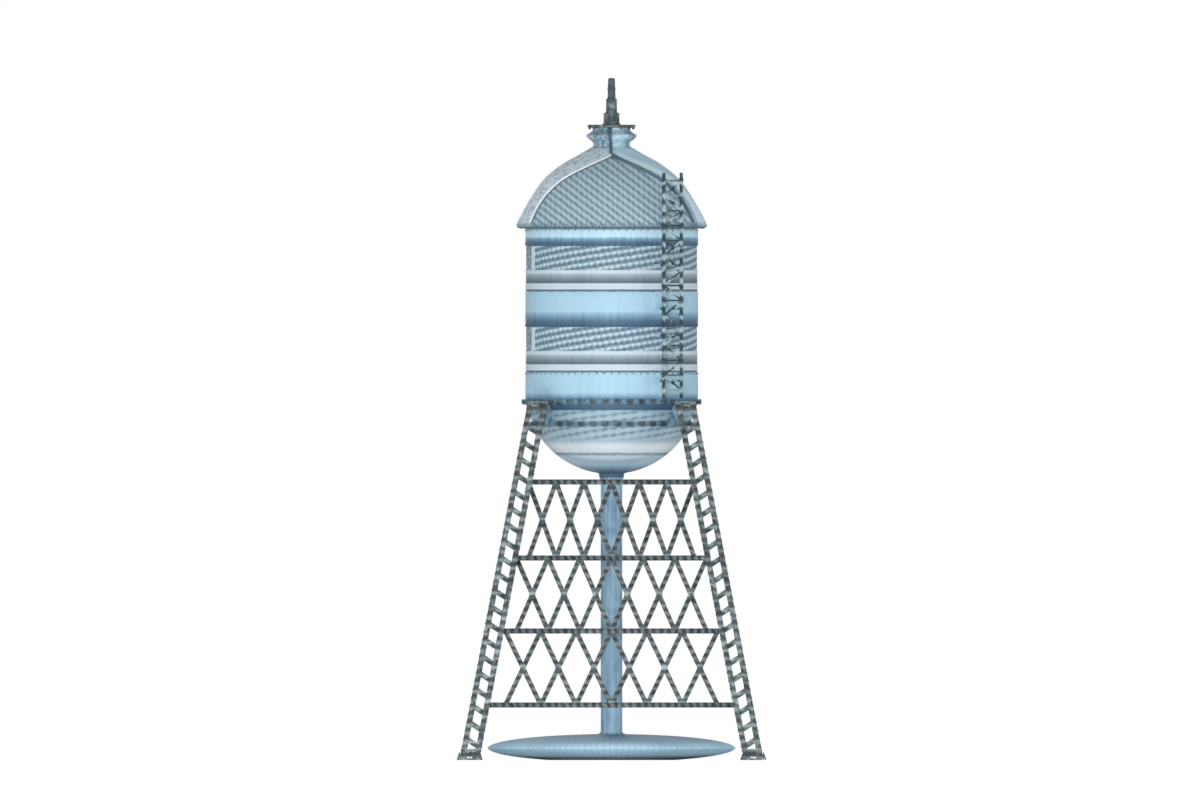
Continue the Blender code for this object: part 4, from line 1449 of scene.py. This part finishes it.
def stiffener():
    """A plate from the leg to the base plate, along +X, with its upper corner cut off."""
    box((0.045, 0.0, 0.095), (0.090, 0.018, 0.190))
    plate = begin("stiffener_model")
    bpy.ops.mesh.bisect(
        plane_co=(0.090, 0.0, 0.030), plane_no=(0.190, 0.0, 0.075), use_fill=True, clear_outer=True
    )
    bpy.ops.object.mode_set(mode="OBJECT")
    return settled(rounded(plate, 0.003))


anchor = anchor_bolt()
web = stiffener()
foot = Matrix.Translation((leg_offset(LEG_LOW), leg_offset(LEG_LOW), LEG_LOW))
for corner, quarter in CORNERS.items():
    parts = []
    for i in range(4):
        for aside in (-BOLT_ASIDE, BOLT_ASIDE):
            place = quarter_turn(i) @ Matrix.Translation((BOLT_OUT, aside, 0.0))
            parts += copied(anchor, [foot @ place])
    for i in range(4):
        for aside in (-WEB_ASIDE, 0.0, WEB_ASIDE):
            place = quarter_turn(i) @ Matrix.Translation((LEG_HALF - 0.012, aside, 0.0))
            parts += copied(web, [foot @ place])
    shoe = joined(f"leg_shoe_{corner}", parts)
    shoe.data.transform(quarter_turn(quarter))
    mount(coat(settled(shoe, 35), tower_steel), "tower_steel")
put_away(anchor, web)

# The web plate runs in under the tank, and a coat of the tank's blue has been brushed over it
web_paint = Finish("web_plate_paint", roughness=0.5)
patches = web_paint.noise(5.0, detail=4.0)
flecks = web_paint.noise(26.0, detail=2.0)
web_colour = web_paint.graded(patches * 0.7 + flecks * 0.3, [
    (0.32, shade(52, 76, 90)), (0.46, shade(96, 126, 144)),
    (0.60, shade(140, 172, 190)), (0.75, shade(170, 200, 214)),
])
web_paint.worn(web_colour, patches, 0.004, 0.42 + flecks * 0.2)

for name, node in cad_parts.items():
    if name.startswith(("base_plate", "leg_head")):
        node.material_slots[0].material = tower_steel.material
    if name.startswith("leg_web"):
        node.material_slots[0].material = web_paint.material
print("CAD plates keep their shape and get their paint")

# %% [markdown]
# ## Lattice sides
#
# Each side has four level struts. Under each of the upper three stands a row of six
# crossed pairs of bars. We model a side flat and upright, saw its ends off along the
# two leaning legs with a bisect, and lean it onto the legs. A strut is a channel: a
# box whose back face is inset and pushed in. A crossed bar is a flat with a rib along
# it, which a bisect on both sides of the rib and an extrude give. The bars that rise
# to the right pass in front, and the others behind.

# %% A strut and a crossed bar
STRUTS = (9.105, 6.615, 4.225, 1.801)
ROWS = ((9.105, 6.615, 0.907), (6.615, 4.225, 1.038), (4.225, 1.801, 1.159))
STRUT_TALL = 0.170
SIDE_HALF = 0.055
CROSSES = 6
BAR_WIDE = 0.154
STRUT_RIVET_STEP = 0.24
BAR_RIVET_STEP = 0.25


def strut(height):
    """A channel with its hollow towards the inside of the tower, and rivets on its face."""
    half = leg_offset(height) - LEG_HALF + 0.2
    box((0.0, 0.0, height), (2 * half, 2 * SIDE_HALF, STRUT_TALL))
    channel = begin("strut")
    pick_faces(channel, lambda middle, normal: normal.y > 0.9)
    bpy.ops.mesh.inset(thickness=0.018)
    bpy.ops.transform.translate(value=(0.0, -(2 * SIDE_HALF - 0.022), 0.0))
    bpy.ops.object.mode_set(mode="OBJECT")
    settled(rounded(channel, 0.006))
    count = int(2 * half / STRUT_RIVET_STEP)
    spots = []
    for i in range(count):
        x = (i - (count - 1) / 2) * STRUT_RIVET_STEP
        spots.append(upright((x, -SIDE_HALF + 0.002, height), TO_FRONT))
    return coat(settled(joined("strut", [channel] + copied(rivet, spots)), 40), strut_steel)


def crossed_bar(length, side):
    """A ribbed flat along +X with rivets. side is -1 for a bar in front and 1 for one behind."""
    box((0.0, side * 0.013, 0.0), (length, 0.014, BAR_WIDE))
    flat = begin("crossed_bar")
    for edge in (-0.008, 0.008):
        bpy.ops.mesh.select_all(action="SELECT")
        bpy.ops.mesh.bisect(plane_co=(0.0, 0.0, edge), plane_no=(0.0, 0.0, 1.0))
    pick_faces(flat, lambda middle, normal: normal.y * side > 0.9 and abs(middle.z) < 0.007)
    pull((0.0, side * 0.026, 0.0))
    bpy.ops.object.mode_set(mode="OBJECT")
    settled(rounded(flat, 0.003))
    count = int(length / BAR_RIVET_STEP)
    spots = []
    for i in range(count):
        x = (i - (count - 1) / 2) * BAR_RIVET_STEP
        for z in (-0.036, 0.036):
            spots.append(upright((x, side * 0.0195, z), (0.0, side, 0.0)))
    return coat(settled(joined("crossed_bar", [flat] + copied(small_rivet, spots)), 40), brace_steel)


clear_widths = [round(2 * (leg_offset(height) - LEG_HALF), 2) for height in STRUTS]
print("struts between the legs:", clear_widths, "m")

# %% [markdown]
# ## Gussets
#
# Where two bars cross, a tall plate on each face holds them with rivets, and where two
# pairs land together on a strut there is a lower, wider one. They read as the knots in
# the net. A gusset is a plate whose four corners are cut by a wide bevel of its corner
# edges, with a few rivet heads.

# %% A gusset plate
GUSSET_OUT = 0.047


def gusset(name, wide, tall):
    """A plate on the outer face, with its corners cut, and rivets."""
    box((0.0, -GUSSET_OUT, 0.0), (wide, 0.012, tall))
    plate = begin(name)
    pick_edges(plate, lambda middle: abs(middle.x) > wide * 0.49 and abs(middle.z) > tall * 0.49)
    bpy.ops.mesh.bevel(offset=wide * 0.28, segments=1)
    bpy.ops.object.mode_set(mode="OBJECT")
    settled(rounded(plate, 0.003))
    spots = [(0.0, 0.0)] + [(x * wide * 0.26, z * tall * 0.30) for x in (-1, 1) for z in (-1, 1)]
    heads = copied(small_rivet, [upright((x, -GUSSET_OUT - 0.005, z), TO_FRONT) for x, z in spots])
    return coat(settled(joined(name, [plate] + heads), 40), knot_steel)


knot = gusset("knot_model", 0.204, 0.304)
landing = gusset("landing_model", 0.240, 0.170)
flip = quarter_turn(2)
print("a gusset has", len(knot.data.polygons), "faces")

# %% [markdown]
# ## One side, put together
#
# The struts, the crossed bars and the gussets are set out on an upright plane. Two
# saw cuts along the legs take off what is too long, and one matrix leans the side
# back onto the legs. The other three sides are copies, each a quarter turn on.

# %% One side, put together, sawn to length and leaned
pieces = [strut(height) for height in STRUTS]
for top, bottom, pitch in ROWS:
    length = hypot(pitch, top - bottom) + 0.02
    slope = atan2(top - bottom, pitch)
    middle = (top + bottom) / 2
    front_bar = crossed_bar(length, -1)
    rear_bar = crossed_bar(length, 1)
    for i in range(CROSSES):
        centre = Matrix.Translation(((i - (CROSSES - 1) / 2) * pitch, 0.0, middle))
        pieces += copied(front_bar, [centre @ Matrix.Rotation(-slope, 4, "Y")])
        pieces += copied(rear_bar, [centre @ Matrix.Rotation(slope, 4, "Y")])
        pieces += copied(knot, [centre, centre @ flip])
    put_away(front_bar, rear_bar)
    for i in range(1, CROSSES):
        x = (i - CROSSES / 2) * pitch
        for z in (top - STRUT_TALL / 2 - 0.045, bottom + STRUT_TALL / 2 + 0.045):
            spot = Matrix.Translation((x, 0.0, z))
            pieces += copied(landing, [spot, spot @ flip])
put_away(knot, landing)

side = joined("side_model", pieces)
bpy.ops.object.mode_set(mode="EDIT")
for way in (-1, 1):
    bpy.ops.mesh.select_all(action="SELECT")
    # The saw cut follows the inner face of the leg, which leans
    bpy.ops.mesh.bisect(
        plane_co=(way * (LEG_FOOT - LEG_HALF + 0.012), 0.0, 0.0),
        plane_no=(way * 1.0, 0.0, BATTER),
        use_fill=True,
        clear_outer=True,
    )
bpy.ops.object.mode_set(mode="OBJECT")
LEAN_BACK = Matrix.Identity(4)
LEAN_BACK[1][2] = BATTER
LEAN_BACK[1][3] = -(LEG_FOOT + CHORD_MIDDLE)
side.data.transform(LEAN_BACK)
for quarter, where in enumerate(("front", "right", "back", "left")):
    lattice = copied(side, [quarter_turn(quarter)])[0]
    lattice.name = f"lattice_{where}_net"
    mount(lattice, "tower_steel", f"lattice_{where}")
put_away(side)

# %% [markdown]
# ## The ladder
#
# A ladder with two stiles stands off the tank at the front right. Its stiles run on past
# the eaves, so that a climber has something to hold. A stile is a small channel, and
# the rungs are round rods with a collar at both ends. A bevelled clamp holds each rung
# on its stile. The ladder is made at the front and then turned to its place.

# %% Stiles and rungs
LADDER_TURN = radians(37.9)
LADDER_R = 3.255
STILE_OUT = 0.363
LADDER_LOW = 11.850
LADDER_HIGH = 19.240
STILE_WIDE = 0.100
RUNG_STEP = 0.490
RUNGS = [LADDER_LOW + 0.260 + RUNG_STEP * i for i in range(15)]
LYING = (0.0, pi / 2, 0.0)


def stile(x):
    """A channel with a bolt head at each rung."""
    tall = LADDER_HIGH - LADDER_LOW
    box((x, -LADDER_R, LADDER_LOW + tall / 2), (STILE_WIDE, 0.060, tall))
    rail = begin("stile")
    # The hollow of the channel looks away from the rungs
    pick_faces(rail, lambda middle, normal: normal.x * x > 0.3)
    bpy.ops.mesh.inset(thickness=0.012)
    bpy.ops.transform.translate(value=(-STILE_WIDE / 2 if x > 0 else STILE_WIDE / 2, 0.0, 0.0))
    bpy.ops.object.mode_set(mode="OBJECT")
    settled(rounded(rail, 0.004))
    bolts = []
    for z in RUNGS:
        bolts.append(upright((x, -LADDER_R - 0.029, z), TO_FRONT))
    return joined("stile", [rail] + copied(rivet, bolts))


def rung():
    """A round rod with a collar near each end, made at height 0."""
    cylinder(12, 0.027, 2 * STILE_OUT - 0.06, (0.0, -LADDER_R, 0.0), LYING)
    rod = begin("rung")
    # The faces on top and below, which a foot or a hand meets, get a border of their own
    pick_faces(rod, lambda middle, normal: abs(normal.z) > 0.9)
    bpy.ops.mesh.inset(thickness=0.004)
    bpy.ops.object.mode_set(mode="OBJECT")
    collars = []
    for side in (-1, 1):
        collar = cylinder(12, 0.034, 0.020, (side * (STILE_OUT - 0.045), -LADDER_R, 0.0), LYING)
        collars.append(rounded(collar, 0.004))
    return joined("rung", [rod] + collars)


def clamp(x):
    """A bevelled clamp round a stile where a rung ends."""
    return settled(rounded(box((x, -LADDER_R, 0.0), (0.150, 0.084, 0.200)), 0.034, 2))


ladder_parts = [stile(-STILE_OUT), stile(STILE_OUT)]
for x in (-STILE_OUT, STILE_OUT):
    model = clamp(x)
    ladder_parts += copied(model, [Matrix.Translation((0.0, 0.0, z)) for z in RUNGS])
    put_away(model)
model = settled(rung(), 40)
ladder_parts += copied(model, [Matrix.Translation((0.0, 0.0, z)) for z in RUNGS])
put_away(model)
print("rungs:", len(RUNGS), "at", round(RUNGS[1] - RUNGS[0], 2), "m")

# %% [markdown]
# ## Lacing inside the ladder, and its stays
#
# Between the rungs a light flat zigzags from stile to stile, with a round head half
# way, as on a trussed ladder. The stays are rods from the stiles to the roof. A rod
# between two points is a cylinder that stands on the origin, gets a shallow cup in its
# top by an inset and an extrude, and is set along the line.

# %% Zigzag, heads and stays
ZIGZAG_WIDE = 0.062


def rod_between(name, start, end, radius):
    """A round bar with a shallow cup in its far end."""
    start = Vector(start)
    end = Vector(end)
    length = (end - start).length
    cylinder(10, radius, length, (0.0, 0.0, length / 2))
    bar = begin(name)
    pick_faces(bar, lambda middle, normal: normal.z > 0.9)
    bpy.ops.mesh.inset(thickness=radius * 0.3)
    pull((0.0, 0.0, -radius * 0.3))
    bpy.ops.object.mode_set(mode="OBJECT")
    bar.data.transform(upright(start, end - start))
    return bar


def zigzag_flat(low, high, way):
    """A flat that climbs from stile to stile. way is 1 if it rises to the right, or else -1."""
    across = 2 * STILE_OUT - 0.05
    length = hypot(across, high - low)
    slope = atan2(high - low, across * way)
    flat = box((0.0, -LADDER_R - 0.018, 0.0), (length, 0.008, ZIGZAG_WIDE))
    flat = settled(rounded(flat, 0.002))
    flat.data.transform(Matrix.Translation((0.0, 0.0, (low + high) / 2)) @ Matrix.Rotation(-slope, 4, "Y"))
    return flat


for i, (a, b) in enumerate(zip(RUNGS, RUNGS[1:])):
    ladder_parts.append(zigzag_flat(a + 0.01, b - 0.01, 1 if i % 2 else -1))
spots = [upright((0.0, -LADDER_R - 0.022, (a + b) / 2), TO_FRONT) for a, b in zip(RUNGS, RUNGS[1:])]
big_rivet = rivet_head(0.072)
ladder_parts += copied(big_rivet, spots)
put_away(big_rivet)

# Each stay falls by 5 cm from the stile to the roof behind it
STAYS = (17.75, 18.15)
for x in (-STILE_OUT, STILE_OUT):
    for z in STAYS:
        back = sqrt(roof_radius(z) ** 2 - x * x) - 0.03
        ladder_parts.append(rod_between("stay", (x, -back, z - 0.05), (x, -LADDER_R + 0.02, z), 0.020))
ladder = joined("ladder_trussed", ladder_parts)
ladder.data.transform(azimuth_matrix(LADDER_TURN))
mount(coat(settled(ladder, 40), ladder_steel), "ladder_steel", "ladder")

# A bracket is painted like the wall where it lies on it, and its arms turn dark near the ladder
bracket_paint = Finish("bracket_paint", roughness=0.5)
square = bracket_paint.x * bracket_paint.x + bracket_paint.y * bracket_paint.y
from_centre = bracket_paint.maths("SQRT", square)
arm = bracket_paint.between(from_centre, TANK_R + 0.30, TANK_R + 0.36)
flecks = bracket_paint.noise(16.0)
wall_tone = bracket_paint.graded(flecks, [(0.3, shade(140, 172, 192)), (0.7, shade(178, 212, 230))])
arm_tone = bracket_paint.graded(flecks, [(0.3, shade(40, 66, 72)), (0.7, shade(92, 118, 124))])
bracket_paint.worn(bracket_paint.mixed(arm, wall_tone, arm_tone), flecks, 0.003, 0.45 + flecks * 0.2)
for name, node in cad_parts.items():
    if name.startswith("ladder_bracket"):
        node.material_slots[0].material = bracket_paint.material

# %% [markdown]
# ## Last things
#
# The models that were only copied are put away.

# %% Tidy
put_away(rivet, small_rivet)
